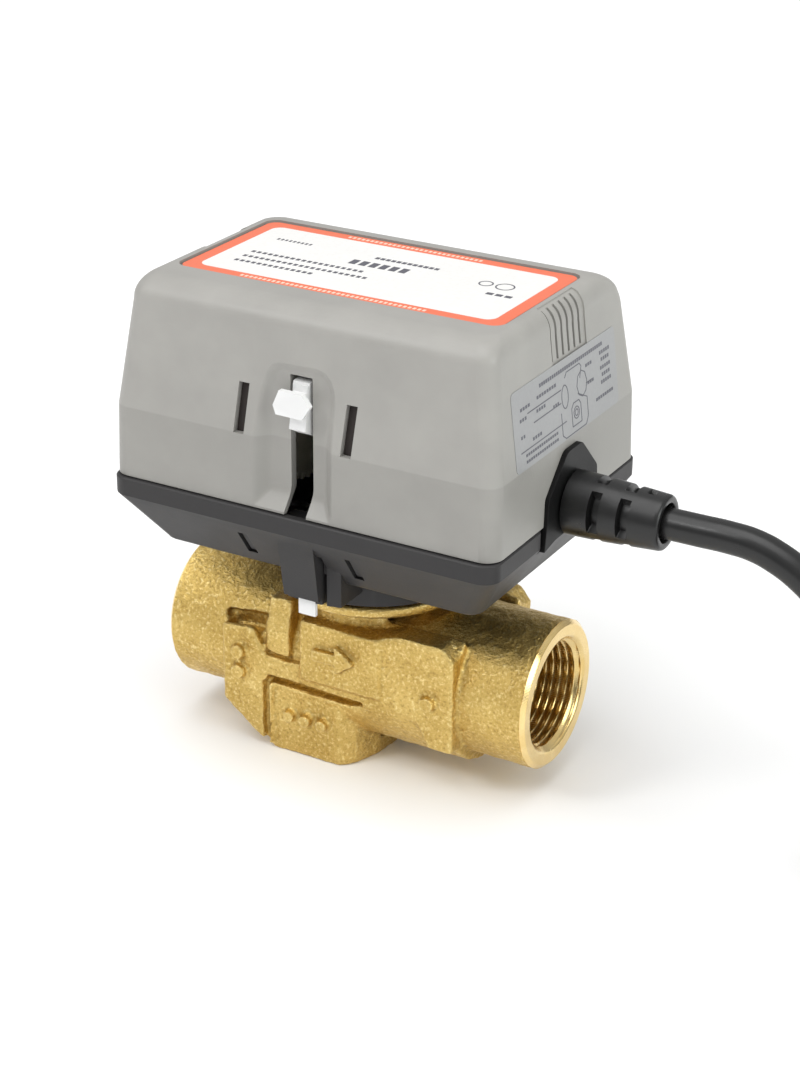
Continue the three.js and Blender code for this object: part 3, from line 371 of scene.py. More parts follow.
def box(xs, ys, zs):
    return prism("block", [(xs[0], ys[0]), (xs[1], ys[0]), (xs[1], ys[1]), (xs[0], ys[1])], "z", zs)


def circle(radius, count, centre, squash=1.0):
    return [(centre[0] + radius * cos(tau * i / count),
             centre[1] + squash * radius * sin(tau * i / count)) for i in range(count)]


def rod(name, axis, radius, span, centre=(0, 0), sides=64):
    return prism(name, circle(radius, sides, centre), axis, span)


def revolve(name, profile, sides, centre=(0, 0)):
    """A closed profile of (radius, height) points turned about a vertical axis."""
    rings = [[(x, y, z) for x, y in circle(radius, sides, centre)] for radius, z in profile]
    return rings_mesh(name, rings, closed=True)


def fillet(profile, radii, steps=3):
    """Rounds the corners of a closed profile, with a radius for each corner."""
    rounded = []
    for i, (corner, radius) in enumerate(zip(profile, radii)):
        here = Vector(corner)
        before = Vector(profile[i - 1]) - here
        after = Vector(profile[(i + 1) % len(profile)]) - here
        reach = min(radius, before.length * 0.45, after.length * 0.45)
        if reach < 0.01:
            rounded.append(tuple(here))
            continue
        start = here + before.normalized() * reach
        end = here + after.normalized() * reach
        for step in range(steps + 1):
            t = step / steps
            rounded.append(tuple((1 - t) ** 2 * start + 2 * t * (1 - t) * here + t ** 2 * end))
    return rounded


def mesh_of(piece):
    return bpy.data.meshes.new_from_object(piece.evaluated_get(bpy.context.evaluated_depsgraph_get()))


def bake(piece):
    mesh = mesh_of(piece)
    piece.modifiers.clear()
    old = piece.data
    piece.data = mesh
    bpy.data.meshes.remove(old)
    return piece


def combine(piece, operation, tools):
    for tool in tools:
        change = piece.modifiers.new("combine", "BOOLEAN")
        change.operation = operation
        change.solver = "EXACT"
        change.object = tool
        bake(piece)
        bpy.data.objects.remove(tool)
    return piece


def cut(piece, *tools):
    return combine(piece, "DIFFERENCE", tools)


def join(piece, *tools):
    return combine(piece, "UNION", tools)


def trim(piece, *tools):
    return combine(piece, "INTERSECT", tools)


def weld(piece, distance=0.002):
    """Joins points closer than this many millimetres, and faces that lie in one plane."""
    def simplify(work):
        bmesh.ops.remove_doubles(work, verts=work.verts, dist=distance * MM)
        bmesh.ops.dissolve_limit(work, angle_limit=radians(0.4), verts=work.verts, edges=work.edges)

    rework(piece.data, simplify)
    return piece


def bevel(piece, width, segments, angle):
    change = piece.modifiers.new("bevel", "BEVEL")
    change.width = width * MM
    change.segments = segments
    change.limit_method = "ANGLE"
    change.angle_limit = radians(angle)
    change.use_clamp_overlap = True
    change.miter_outer = "MITER_ARC"
    return bake(piece)


def shade(piece, angle=38):
    """Smooth shading, kept sharp along edges that turn by more than this angle."""
    def sharpen(work):
        for edge in work.edges:
            if len(edge.link_faces) == 2 and edge.calc_face_angle(0) > radians(angle):
                edge.smooth = False

    piece.data.shade_smooth()
    rework(piece.data, sharpen)
    weighted = piece.modifiers.new("normals", "WEIGHTED_NORMAL")
    weighted.keep_sharp = True
    weighted.weight = 80
    return piece


FLAT_WALL_AREA = 60 * MM * MM
NEARLY_ALONG = 0.93  # cosine between normals that count as the same wall


def keep_walls_flat(piece):
    """Gives broad flat faces, and the narrow ones that meet them gently, the broad face's own normal."""
    mesh = piece.data
    piece.modifiers.clear()
    rounded = [corner.vector.copy() for corner in mesh.corner_normals]
    wall_at = {}
    for face in sorted(mesh.polygons, key=lambda f: f.area):
        if face.area > FLAT_WALL_AREA:
            for vertex in face.vertices:
                wall_at[vertex] = face.normal.copy()
    normals = []
    for face in mesh.polygons:
        for loop, vertex in zip(face.loop_indices, face.vertices):
            wall = wall_at.get(vertex)
            if face.area > FLAT_WALL_AREA:
                wall = face.normal.copy()
            elif not wall or min(wall.dot(rounded[loop]), wall.dot(face.normal)) <= NEARLY_ALONG:
                wall = rounded[loop]
            normals.append(wall)
    mesh.normals_split_custom_set(normals)


def finish(piece, node, material=None, stands_for=True):
    """Gives a piece its node's body, and the material of the node's slot unless another is named."""
    piece.data.materials.clear()
    piece.data.materials.append(MATERIALS[material or SLOT_OF[node]])
    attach(piece, BODY_OF[node])
    if stands_for:
        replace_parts(piece, node)
    return piece


def ride_actuator(piece, slot, material=None):
    """Lets a piece without a CAD node of its own ride on the actuator."""
    piece.data.materials.append(MATERIALS[material or slot])
    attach(piece, "actuator")
    return piece


def copy_of(name, node):
    """A welded copy of a CAD node, with its flat faces whole again."""
    made = add_object(name, frame["nodes"][node].data.copy())
    made.data.materials.clear()
    return weld(made, 0.001)


# ---- cord
COIL_CENTRE = (161, 11.8)
COIL_OUTER_R = 40
COIL_INNER_R = 33
COIL_TOP_Z = 10.6
COIL_LOW_Z = 3.6
COIL_START = -130  # degrees
COIL_TURN = 1215
COIL_STEP = 15
COIL_GOES_IN = (290, 340)  # degrees round where the coil changes radius or level
COIL_GOES_DOWN = (620, 680)
COIL_GOES_OUT = (960, 1020)
TAIL_DIRECTION = radians(5)
TAIL_LENGTH = 33
CORD_ROUTE = [
    (71.1, -0.5, 71.5), (78, -0.5, 71.5), (85, -0.5, 71.5), (90.6, -0.5, 71), (95.9, -0.5, 69.3),
    (100.8, -0.5, 66.7), (105.2, -0.5, 63.2), (108.7, -0.5, 58.8), (111.3, -0.5, 53.9), (113, -0.5, 48.6),
    (113.5, -0.5, 43), (113.5, -0.5, 39.1), (113.9, -0.9, 33.5), (115.2, -1.9, 28.1), (117.3, -3.6, 23.1),
    (120.4, -6.3, 18.3), (123.5, -8.9, 15.2), (127.3, -12.1, 12.6), (131.1, -15.3, 11.1),
]


def eased(value, start, end):
    share = min(1, max(0, (value - start) / (end - start)))
    return share * share * (3 - 2 * share)


def from_coil_centre(reach, along, angle):
    """A point of the plan, outwards from the coil's centre at an angle and then along its turns."""
    c, s = cos(angle), sin(angle)
    return COIL_CENTRE[0] + reach * c - along * s, COIL_CENTRE[1] + reach * s + along * c


def coil_point(degrees_on):
    """A point of the coil: outer top turn, inner top turn, inner low turn, outer low turn."""
    inwards = eased(degrees_on, *COIL_GOES_IN) - eased(degrees_on, *COIL_GOES_OUT)
    radius = COIL_OUTER_R + (COIL_INNER_R - COIL_OUTER_R) * inwards
    height = COIL_TOP_Z + (COIL_LOW_Z - COIL_TOP_Z) * eased(degrees_on, *COIL_GOES_DOWN)
    return (*from_coil_centre(radius, 0, radians(COIL_START + degrees_on)), height)


def on_tail(distance, aside=0.0, z=COIL_LOW_Z):
    return (*from_coil_centre(COIL_OUTER_R + aside, distance, TAIL_DIRECTION), z)


def wire(name, points, radius, sides):
    """A smooth curve of round section through points given in millimetres."""
    data = bpy.data.curves.new(name, "CURVE")
    data.dimensions = "3D"
    data.bevel_depth = radius * MM
    data.bevel_resolution = sides
    data.resolution_u = 8
    data.use_fill_caps = True
    spline = data.splines.new("BEZIER")
    spline.bezier_points.add(len(points) - 1)
    for knot, point in zip(spline.bezier_points, points):
        knot.co = Vector(point) * MM
        knot.handle_left_type = knot.handle_right_type = "AUTO"
    return add_object(name, data)


coil = [coil_point(d) for d in range(0, COIL_TURN + 1, COIL_STEP)]
tail = [on_tail(d) for d in (9, 18, 27, TAIL_LENGTH)]
cord = ride_actuator(wire("power_cord", CORD_ROUTE + coil + tail, CORD_R, 8), "cord_black")
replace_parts(cord, "cord_tube", "cord_coil", "cord_tail")

LEADS = [  # colour, place aside and height in the cord's end, spread
    ("brown", -1.9, 4.2, -8.5), ("blue", -1.2, 1.6, -4.2), ("green_yellow", 0, 5.4, 0),
    ("grey", 1.2, 1.6, 4.2), ("orange", 1.9, 4.2, 8.5),
]
LEAD_R = 1.1
LEAD_END = 51
LEAD_REST_Z = LEAD_R + 0.15
STRANDS_R = 0.62
STRANDS_LENGTH = 4.4
lead_pieces = []
for colour, aside, height, spread in LEADS:
    lead = "lead_" + colour
    cut_end = on_tail(LEAD_END, aside + spread * 0.9, LEAD_REST_Z)
    insulated = wire(lead + "_wire", [
        on_tail(TAIL_LENGTH - 6, aside * 0.8, COIL_LOW_Z + (height - COIL_LOW_Z) * 0.8),
        on_tail(TAIL_LENGTH + 0.3, aside, height),
        on_tail(TAIL_LENGTH + 9, aside + spread * 0.15, height * 0.8 + 0.3),
        on_tail(TAIL_LENGTH + 15, aside + spread * 0.55, 1.6),
        cut_end,
    ], LEAD_R, 4)
    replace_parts(ride_actuator(insulated, lead), lead)
    strands = wire(lead + "_strands", [
        on_tail(LEAD_END - 2, aside + spread * 0.84, LEAD_REST_Z),
        cut_end,
        on_tail(LEAD_END + STRANDS_LENGTH, aside + spread * 0.98, LEAD_R),
    ], STRANDS_R, 4)
    lead_pieces += [insulated, ride_actuator(strands, lead, "copper")]


TIE_ANGLE = radians(-30)  # where all four turns lie together
TIE_HALF_WIDTH = 1.3
TIE_MIDDLE_R = (COIL_OUTER_R + COIL_INNER_R) / 2
TIE_MIDDLE_Z = 7.3


def coil_tie():
    """Narrow nylon band drawn tight round the coil's turns."""
    rings = []
    for outer, inner in zip(round_box(7.5, 7.28, 3.6, 6), round_box(7.1, 6.95, 3.3, 6)):
        rings.append([(*from_coil_centre(TIE_MIDDLE_R + aside, along * TIE_HALF_WIDTH, TIE_ANGLE),
                       TIE_MIDDLE_Z + up)
                      for (aside, up), along in ((outer, -1), (outer, 1), (inner, 1), (inner, -1))])
    return rings_mesh("coil_tie", rings, closed=True)


tie = ride_actuator(shade(coil_tie(), 40), "black_nylon")


# ---- valve body
MACHINED_FROM = 46.0  # where the cast barrel ends and the turned face begins
BARREL_R = 17.25
BORE_CLEAR_R = 13.8
THREAD_PITCH = 1.814
THREAD_CORE_R = 12.05
THREAD_ROOT_R = 13.2
THREAD_DEPTH = 13.5
THREAD_FROM = 0.25  # depth of the first thread ring below the port's face
THREAD_STEPS = 132
THREAD_SIDES = 96
LEAD_IN_R = 13.66
RELIEF_LENGTH = 1.6  # plain bore behind the thread
VOXEL = 0.42
SWELL_SIZE = 2.4
SWELL_HEIGHT = 0.15
NECK_R = 21.5  # the neck's seat, which stays smooth, lies within this and above
NECK_Z = 38.2
MARK_ARROW = [(-4.4, 28.2), (1.6, 28.2), (1.6, 26.0), (6.4, 29.6), (1.6, 33.2), (1.6, 31.0), (-4.4, 31.0)]
MARK_DOTS = [  # place (x, z), radius, sides, and stretch in y
    *[(spot, 1.75, 24, (18.6, 21.0)) for spot in ((-25.4, 19.2), (-25.4, 24.2), (24.6, 24.4))],
    *[((x, 10.2), 1.45, 20, (17.0, 19.9)) for x in (-12.4, -8.0, -3.6)],
]
GROOVES = [  # outline (x, z) and stretch in y, round the boss and the pad
    ([(-18.4, 17.3), (3.4, 16.9), (7.4, 18.2), (7.4, 19.0), (-18.4, 19.6)], (15.6, 25)),
    ([(-30.0, 27.5), (-20.6, 28.5), (-20.6, 31.2), (-30.0, 31.2)], (13.4, 17.2)),
    ([(-18.6, 24.7), (-12.0, 24.0), (-12.0, 25.1), (-18.6, 25.8)], (16.8, 25)),
    ([(-19.6, 2), (-17.9, 1), (-17.9, 18), (-19.6, 18)], (17.2, 25)),
    ([(-31.5, 29.7), (-20.4, 30.8), (-20.4, 32.8), (-31.5, 31.7)], (13.4, 25)),
]


def cast_marks():
    """Raised marks of the casting: a flow arrow, and dots by the ports and on the boss."""
    marks = []
    for side in SIDES:
        marks.append(prism("mark", MARK_ARROW, "y", stretch(side, 19.6, 22.0)))
        for spot, radius, sides, reach in MARK_DOTS:
            marks.append(rod("mark", "y", radius, stretch(side, *reach), spot, sides))
    return marks


def neck_bars():
    """Bars in the pockets beside the marks, running up towards the neck."""
    top = lo("bayonet_ring").z - 0.4
    return [prism("bar", [(side * 8, 25.4), (side * 18.9, 25.4), (side * 18.9, 31.5), (side * 17.2, top),
                          (side * 8, top)], "x", (-18.2, -12.3)) for side in SIDES]


def soften(piece, rounds):
    """Rebuilds a piece from small cubes and smooths it, so its edges are as soft as a casting's."""
    remesh = piece.modifiers.new("remesh", "REMESH")
    remesh.mode = "VOXEL"
    remesh.voxel_size = VOXEL * MM
    remesh.adaptivity = 0.0
    smooth = piece.modifiers.new("soften", "SMOOTH")
    smooth.factor = 0.5
    smooth.iterations = rounds
    bake(piece)


def roughen(mesh):
    """Moves the skin in and out a little, as sand does, apart from the seat at the neck."""
    points = np.array([vertex.co for vertex in mesh.vertices], float)
    normals = np.array([vertex.normal for vertex in mesh.vertices], float)
    swell = np.array([noise.fractal(Vector(p) / (SWELL_SIZE * MM), 1.0, 2.0, 3) for p in points])
    inside = np.hypot(points[:, 0], points[:, 1]) < NECK_R * MM
    swell[inside & (points[:, 2] > NECK_Z * MM)] = 0
    points += normals * (swell * SWELL_HEIGHT * MM)[:, None]
    mesh.vertices.foreach_set("co", points.ravel())


def cast_body():
    body = copy_of("valve_body_cast", "valve_body")
    middle = (0, PORT_Z)
    join(body, *[rod("end", "x", BARREL_R + 0.06, stretch(side, 43, 49), middle, 96) for side in SIDES])
    cut(body, *[rod("bore", "x", BORE_CLEAR_R, stretch(side, 24.6, 50), middle, 90) for side in SIDES])
    shoulder = box((-31, -21.8), (-25, 25), (31.2, 60))
    cut(body, cut(shoulder, rod("barrel", "x", BARREL_R + 0.05, (-32, -21), middle, 96)))
    join(body, *neck_bars())
    cut(body, *[prism("groove", outline, "y", stretch(side, *reach))
                for side in SIDES for outline, reach in GROOVES])
    soften(body, 6)
    join(body, *cast_marks())
    soften(body, 2)
    roughen(body.data)
    return cut(body, *[box(stretch(side, MACHINED_FROM, 60), (-30, 30), (0, 60)) for side in SIDES])


def thread_radius(depth, turn):
    """Radius of the port's inner wall at a depth below its face and a share of a turn round it."""
    if depth > THREAD_DEPTH - RELIEF_LENGTH:
        return THREAD_CORE_R - 0.05
    phase = (depth / THREAD_PITCH - turn) % 1.0
    flank = min(1.0, max(0.0, (abs(phase - 0.5) * 2 - 0.12) / 0.76))
    return max(THREAD_ROOT_R + (THREAD_CORE_R - THREAD_ROOT_R) * flank, LEAD_IN_R - depth * 0.95)


def thread_ring(name, side):
    """Turned end of a port: outer chamfer, flat face, lead-in chamfer and the helical thread."""
    outer = [(15.6, PORT_FACE - THREAD_DEPTH), (15.6, MACHINED_FROM - 0.6),
             (BARREL_R - 0.03, MACHINED_FROM - 0.05), (BARREL_R - 0.01, MACHINED_FROM + 0.08),
             (BARREL_R - 0.78, PORT_FACE - 0.14), (BARREL_R - 1.0, PORT_FACE),
             (13.95, PORT_FACE), (13.75, PORT_FACE - 0.1)]
    depths = [THREAD_FROM + (THREAD_DEPTH - THREAD_FROM) * level / THREAD_STEPS
              for level in range(THREAD_STEPS + 1)]
    rings = [[] for _ in range(len(outer) + len(depths))]
    for i in range(THREAD_SIDES):
        turn = i / THREAD_SIDES
        c, s = cos(turn * tau), sin(turn * tau)
        inner = [(thread_radius(depth, side * turn), PORT_FACE - depth) for depth in depths]
        for ring, (radius, x) in zip(rings, outer + inner):
            ring.append((side * x, radius * c, PORT_Z + radius * s))
    return rings_mesh(name, rings, closed=True)


finish(shade(cast_body(), 50), "valve_body")
for suffix, side in (("a", 1), ("b", -1)):
    ring = shade(thread_ring("port_ring_" + suffix, side), 30)
    finish(ring, "valve_body", "turned_brass", stands_for=False)


# ---- brass ring on the neck
LUG_ANGLE = radians(22)
LUG_STEPS = 12
RING_BOTTOM = lo("bayonet_ring").z
RING_TOP = hi("bayonet_ring").z


def arc_lugs(inner, outer, span):
    """Two blocks opposite each other on a circle."""
    lugs = []
    for side in (0, pi):
        arc = [side - LUG_ANGLE + 2 * LUG_ANGLE * i / LUG_STEPS for i in range(LUG_STEPS + 1)]
        outline = [(outer * cos(a), outer * sin(a)) for a in arc]
        outline += [(inner * cos(a), inner * sin(a)) for a in reversed(arc)]
        lugs.append(prism("lug", outline, "z", span))
    return lugs


ring = revolve("bayonet_ring_turned", fillet([
    (14.2, RING_BOTTOM), (17.6, RING_BOTTOM), (17.9, RING_BOTTOM + 1.3), (21.2, RING_BOTTOM + 1.3),
    (21.2, RING_BOTTOM + 4), (16.8, RING_BOTTOM + 4), (16.8, RING_TOP), (9, RING_TOP), (9, RING_TOP - 2.5),
    (14.2, RING_TOP - 2.5),
], [0.4, 0.4, 0.4, 1.2, 1.6, 0.5, 0.4, 0.4, 0.4, 0.4], 5), 128)
join(ring, *arc_lugs(16.3, 19.2, (RING_TOP - 3, RING_TOP)))
finish(shade(ring, 30), "bayonet_ring", "cast_brass")


# ---- actuator base
RIM_HEIGHT = 4.2
TRAY_BOTTOM = RIM - 16.8
BASE_WINDOWS = (-14.4, 12.7)  # middles of the hook windows in x
COVER_WINDOWS = (-13.8, 12.7)
CORD_HOLE_R = 4.6


def base_shell():
    shell = loft("base_tray_moulded", [
        (TRAY_BOTTOM, 39.7, 26.8, 3), (TRAY_BOTTOM + 0.35, 40.2, 27.3, 3.4),
        (TRAY_BOTTOM + 0.8, 40.5, 27.6, 3.6), (RIM - RIM_HEIGHT, 48, 35.8, 4),
        (RIM - 0.35, 48, 35.8, 4), (RIM, 47.7, 35.5, 3.8),
    ])
    sector = rod("sector", "z", 30.6, (RIM - 21.5, RIM - 8), sides=180)
    join(shell,
         rod("collar", "z", 22, (RIM - 25, TRAY_BOTTOM + 1), sides=128),
         trim(sector, box((-5, 8.2), (-40, -20), (0, 90))),
         prism("column", [(-34.6, RIM - 4), (-31.8, RIM - 20.4), (-24, RIM - 20.4),
                          (-24, RIM - 4)], "x", (-5, 3.9)))
    cut(shell,
        rod("bore", "z", 20.2, (RIM - 26, TRAY_BOTTOM + 0.2), sides=128),
        rod("stem_hole", "z", 7, (40, 90)),
        box((-2.3, 2.3), (-30.6, -26), (RIM - 30, RIM - 7)),  # latch shaft
        box((3.9, 5.0), (-40, -26.6), (RIM - 22, RIM - 9)),  # gap beside the latch column
        *[box((x - 1.25, x + 1.25), (-40, -26), (RIM - 13.6, RIM - 7.4)) for x in BASE_WINDOWS],
        box((46.8, 60), (-14, 13), (RIM - 5.6, RIM + 1)),  # gland notch
        rod("cord_hole", "x", CORD_HOLE_R, (40, 60), (CORD_Y, CORD_Z)),
        loft("inside", [(TRAY_BOTTOM + 2, 38.5, 25.6, 2), (RIM - RIM_HEIGHT + 1, 46, 33.8, 2.5),
                        (RIM + 5, 46, 33.8, 2.5)]))
    bridge = [((-5.6, 5.6), 3.4, 2.2), (stretch(-1, 4.2, 5.6), 14, 2.9), (stretch(1, 4.2, 5.6), 14, 2.9)]
    join(shell, *[box(xs, (-30, -26.4), (RIM - low, RIM - high)) for xs, low, high in bridge])
    return join(shell, *arc_lugs(17.4, 20.7, (RIM - 25, RIM - 22.4)))


finish(shade(bevel(weld(base_shell()), 0.28, 2, 28), 32), "base_tray")


# ---- actuator cover
EDGE_STEPS = 18
EDGE_ROUND = (3.6, 6.4, 5.2)  # rounding of the top edge along x, y and z
BACK_ROUND = (12, 8.3)  # the same along the back, which is rounder: along y and z
TOP_HALF = (44.4, 31.3)
COVER_FOOT = (COVER_HALF[0] + 0.85, COVER_HALF[1])
EDGE_Z = COVER_TOP - EDGE_ROUND[2]
WALL_LEAN = 0.4
FLOOR_Y = -31.6  # floor of the lever recess
RAMP_TOP_Z = RIM + 4.8
RAMP_RUN = 0.80
RECESS_OUTLINE = [  # rim of the lever recess on the front wall, (x, z)
    (-11.1, 60), (9.2, 60), (9.2, 96.4), (8.9, 99.0), (7.9, 101.3), (6.2, 102.9), (4.2, 103.4),
    (-5.0, 103.2), (-6.8, 102.4), (-8.1, 100.4), (-9.3, 96.4), (-10.1, 91.5), (-10.8, 85.0), (-11.1, 79.0),
]
VENT_YS = [1.5 + (i - 2.5) * 2.7 for i in range(6)]
VENT_HALF = 0.45
VENT_BOTTOM = RIM + 34.4
VENT_DEPTH_X = 41.7
PANEL_DEPTH = 0.28
ABOVE = COVER_TOP + 5  # a height clear of the cover, for cutters
LABEL_POCKET = (39.95, 19.7, 3)
WINDOW_HALF = 1.3
WINDOW_LEAN = 0.45  # shift in x from a hook window's middle to each end
WINDOW_LOW, WINDOW_HIGH = RIM + 16.4, RIM + 27.7


def edge_inset(reach, height, below):
    """How far a rounded top edge has come in at this distance below the top."""
    if below >= height:
        return 0.0
    return reach * (1 - sqrt(1 - (1 - below / height) ** 2))


def cover_sections(inset, top):
    """Sections of the cover's outside, or of a skin that lies inside it by this inset."""
    radius = 4 - inset / 2
    foot = [half - inset for half in COVER_FOOT]
    sections = [(COVER_BOTTOM, *foot, radius, 0.0),
                (KNEE_Z, foot[0] - WALL_LEAN, foot[1] - WALL_LEAN, radius, 0.0)]
    for i in range(EDGE_STEPS + 1):
        below = BACK_ROUND[1] * (1 - sin(tau / 4 * i / EDGE_STEPS))
        length, width = [np.interp(COVER_TOP - below, [KNEE_Z, EDGE_Z], [low - WALL_LEAN, high]) - inset
                         for low, high in zip(COVER_FOOT, TOP_HALF)]
        front = width - edge_inset(*EDGE_ROUND[1:], below)
        back = width - edge_inset(*BACK_ROUND, below)
        length -= edge_inset(*EDGE_ROUND[::2], below)
        sections.append((top - below, length, (front + back) / 2, radius, (back - front) / 2))
    return sections


def front_wall_y(z):
    """Front surface of the cover at a height below its rounded top edge."""
    return np.interp(z, [COVER_BOTTOM, KNEE_Z, EDGE_Z],
                     [-COVER_HALF[1], -COVER_HALF[1] + WALL_LEAN, -TOP_HALF[1]])


def distance_inside(x, z, outline):
    """Distance from points to an outline, positive inside it."""
    best = np.full(x.shape, 1e9)
    inside = np.zeros(x.shape, bool)
    for (x0, z0), (x1, z1) in zip(outline, outline[1:] + outline[:1]):
        dx, dz = x1 - x0, z1 - z0
        share = np.clip(((x - x0) * dx + (z - z0) * dz) / (dx * dx + dz * dz), 0, 1)
        best = np.minimum(best, np.hypot(x - x0 - share * dx, z - z0 - share * dz))
        crosses = (z0 > z) != (z1 > z)
        inside ^= crosses & (x < x0 + (z - z0) * dx / (dz or 1e-9))
    return np.where(inside, best, -best)


def smooth_min(a, b, width):
    share = np.clip(0.5 + 0.5 * (b - a) / width, 0, 1)
    return b + (a - b) * share - width * share * (1 - share)


def recess_cutter():
    """Hollow of the lever recess: sloped sides, soft corners and a ramp that runs out at the foot."""
    x, z = np.meshgrid(np.arange(-13.2, 11.41, 0.2), np.arange(66.5, 105.6, 0.25), indexing="ij")
    wall = front_wall_y(z)
    floor = smooth_min(np.full(z.shape, FLOOR_Y), FLOOR_Y - (RAMP_TOP_Z - z) * RAMP_RUN, 1.3)
    s = distance_inside(x, z, RECESS_OUTLINE)
    slope = np.where(s < 0, 0.35 * s, np.where(s < 1.2, 0.35 * s + 0.27 * s * s, s - 0.391))
    y = wall + smooth_min(slope * 1.02, np.maximum(floor - wall, -0.6), 0.9)
    rows, row = x.shape
    rim = [i * row for i in range(rows)] + [(rows - 1) * row + j for j in range(1, row)]
    rim += [i * row + row - 1 for i in range(rows - 2, -1, -1)] + list(range(row - 2, 0, -1))
    front = {v: n for n, v in enumerate(sorted(rim))}
    back = len(rim)
    grid = np.stack([x, y, z], axis=-1).reshape(-1, 3).tolist()
    points = [(grid[v][0], -44.0, grid[v][2]) for v in front] + grid
    corners = [back + i * row + j for i in range(rows - 1) for j in range(row - 1)]
    faces = [(a, a + row, a + row + 1, a + 1) for a in corners]
    faces += [(front[a], front[b], back + b, back + a) for a, b in zip(rim, rim[1:] + rim[:1])]
    faces.append(tuple(front[v] for v in rim))
    return mesh_from("recess", points, faces)


def panel_cutters():
    """Cutters that sink the vent panels a little below the cover's surface."""
    cutters = []
    for side in SIDES:
        skin = loft("panel", [(z, length + 1.5, width + 1.5, *rest)
                              for z, length, width, *rest in cover_sections(0, COVER_TOP)]
                    + [(COVER_TOP + 1.5, 42.3, 23.6, 4, -2.8)])
        cut(skin, loft("core", cover_sections(PANEL_DEPTH, COVER_TOP - PANEL_DEPTH)))
        ys = (VENT_YS[0] - VENT_HALF, VENT_YS[-1] + 2.5)
        cutters.append(trim(skin, box(stretch(side, 41.0, 60), ys, (VENT_BOTTOM - 1.4, ABOVE))))
    return cutters


def window_outline(x):
    """Hook window of the cover, which leans with the wall: (x, z)."""
    foot = [(x - WINDOW_LEAN + half, WINDOW_LOW) for half in (-WINDOW_HALF, WINDOW_HALF)]
    return foot + [(x + WINDOW_LEAN + half, WINDOW_HIGH) for half in (WINDOW_HALF, -WINDOW_HALF)]


def cover_shell():
    shell = loft("cover_moulded", cover_sections(0, COVER_TOP), 12)
    cut(shell, loft("hollow", cover_sections(2, COVER_TOP - 2)),
        loft("mouth", [(COVER_BOTTOM - 5, 45, 32.8, 3), (COVER_BOTTOM + 0.1, 45, 32.8, 3)]))
    backing = box((-13.2, 13.2), (-40, FLOOR_Y + 1.9), (COVER_BOTTOM, RIM + 37))
    join(shell, trim(backing, loft("skin", cover_sections(0, COVER_TOP), 12)))
    bevel(weld(shell), 0.4, 2, 60)
    return cut(
        shell, *panel_cutters(), recess_cutter(),
        prism("slot", fillet([(-2.75, RIM - 5), (2.75, RIM - 5), (2.75, RIM + 31.2),
                              (-2.75, RIM + 31.2)], [0, 0, 0.3, 0.3]), "y", (-60, -20)),
        *[prism("hook_window", window_outline(x), "y", (-60, -29)) for x in COVER_WINDOWS],
        prism("behind_ramp", [(-30.0, RAMP_TOP_Z), (-33.6, RIM + 0.3), (-33.6, COVER_BOTTOM - 1),
                              (-25, COVER_BOTTOM - 1), (-25, RAMP_TOP_Z)], "x", (-11, 11)),
        loft("label_pocket", [(COVER_TOP - 0.9, *LABEL_POCKET), (ABOVE, *LABEL_POCKET)]),
        rod("gland_path", "x", CORD_HOLE_R, (40, 60), (CORD_Y, CORD_Z)),
        box((40, 60), (CORD_Y - CORD_HOLE_R, CORD_Y + CORD_HOLE_R),
            (COVER_BOTTOM - 1, CORD_Z)),
        *[box(stretch(side, VENT_DEPTH_X, 60), (y - VENT_HALF, y + VENT_HALF), (VENT_BOTTOM, ABOVE))
          for side in SIDES for y in VENT_YS])


cover = shade(cover_shell(), 30)
keep_walls_flat(cover)
finish(cover, "cover")


# ---- snap hooks, and black sheets behind the vents as painted shade
def hook(name, xs, outline, slot, material=None):
    piece = bevel(prism(name, outline, "x", xs), 0.2, 2, 30)
    ride_actuator(shade(piece), slot, material)


for tag, x, low_x, side in zip(("left", "right"), COVER_WINDOWS, BASE_WINDOWS, SIDES):
    # the base's hooks in the cover's windows are painted darker, as shade
    hook("base_hook_" + tag, (x - 1.7, x + 1.7), [
        (-33.0, KNEE_Z - 0.3), (-30.6, KNEE_Z - 0.3), (-29.4, KNEE_Z + 11.6), (-31.5, KNEE_Z + 11.6),
    ], "dark_case", "hook_brown")
    hook("cover_hook_" + tag, (low_x - 0.85, low_x + 0.85), [
        (-28.9, RIM - 13.2), (-27.0, RIM - 13.2), (-27.0, RIM - 7.8), (-32.6, RIM - 7.8),
    ], "dark_case")
    # black sheets just inside the vents: painted shade that makes the vents read dark
    hook("vent_shade_sheet_" + tag, stretch(side, 40.6, 41.2), [
        (-9, VENT_BOTTOM - 2), (12, VENT_BOTTOM - 2), (12, COVER_TOP - 3), (-9, COVER_TOP - 3),
    ], "switch_black")


# ---- top label
LABEL_HALF = (39.35, 19.1)
LABEL_HIGH = hi("top_label").z
PANEL_TOP = LABEL_HIGH - 0.045
PANEL_BORDER = 3.1
INK_HEIGHT = 0.035
LINE_WIDTH = 0.24
RING_HALF_WIDTH = 0.17


def label_layer(name, border, radius, zs, material):
    outline = round_box(LABEL_HALF[0] - border, LABEL_HALF[1] - border, radius)
    return finish(shade(prism(name, outline, "z", zs), 30), "top_label", material, stands_for=False)


def ink(name, quads, node, place, material="label_ink"):
    """Four-sided ink marks; place turns (u, v), and 0 below or 1 above, into a point."""
    points, faces = [], []
    for corners in quads:
        start = len(points)
        points += [place(u, v, side) for side in (0, 1) for u, v in corners]
        faces += [(start, start + 1, start + 2, start + 3), (start + 4, start + 5, start + 6, start + 7)]
        faces += [(start + k, start + (k + 1) % 4, start + 4 + (k + 1) % 4, start + 4 + k) for k in range(4)]
    finish(mesh_from(name, points, faces), node, material, stands_for=False)


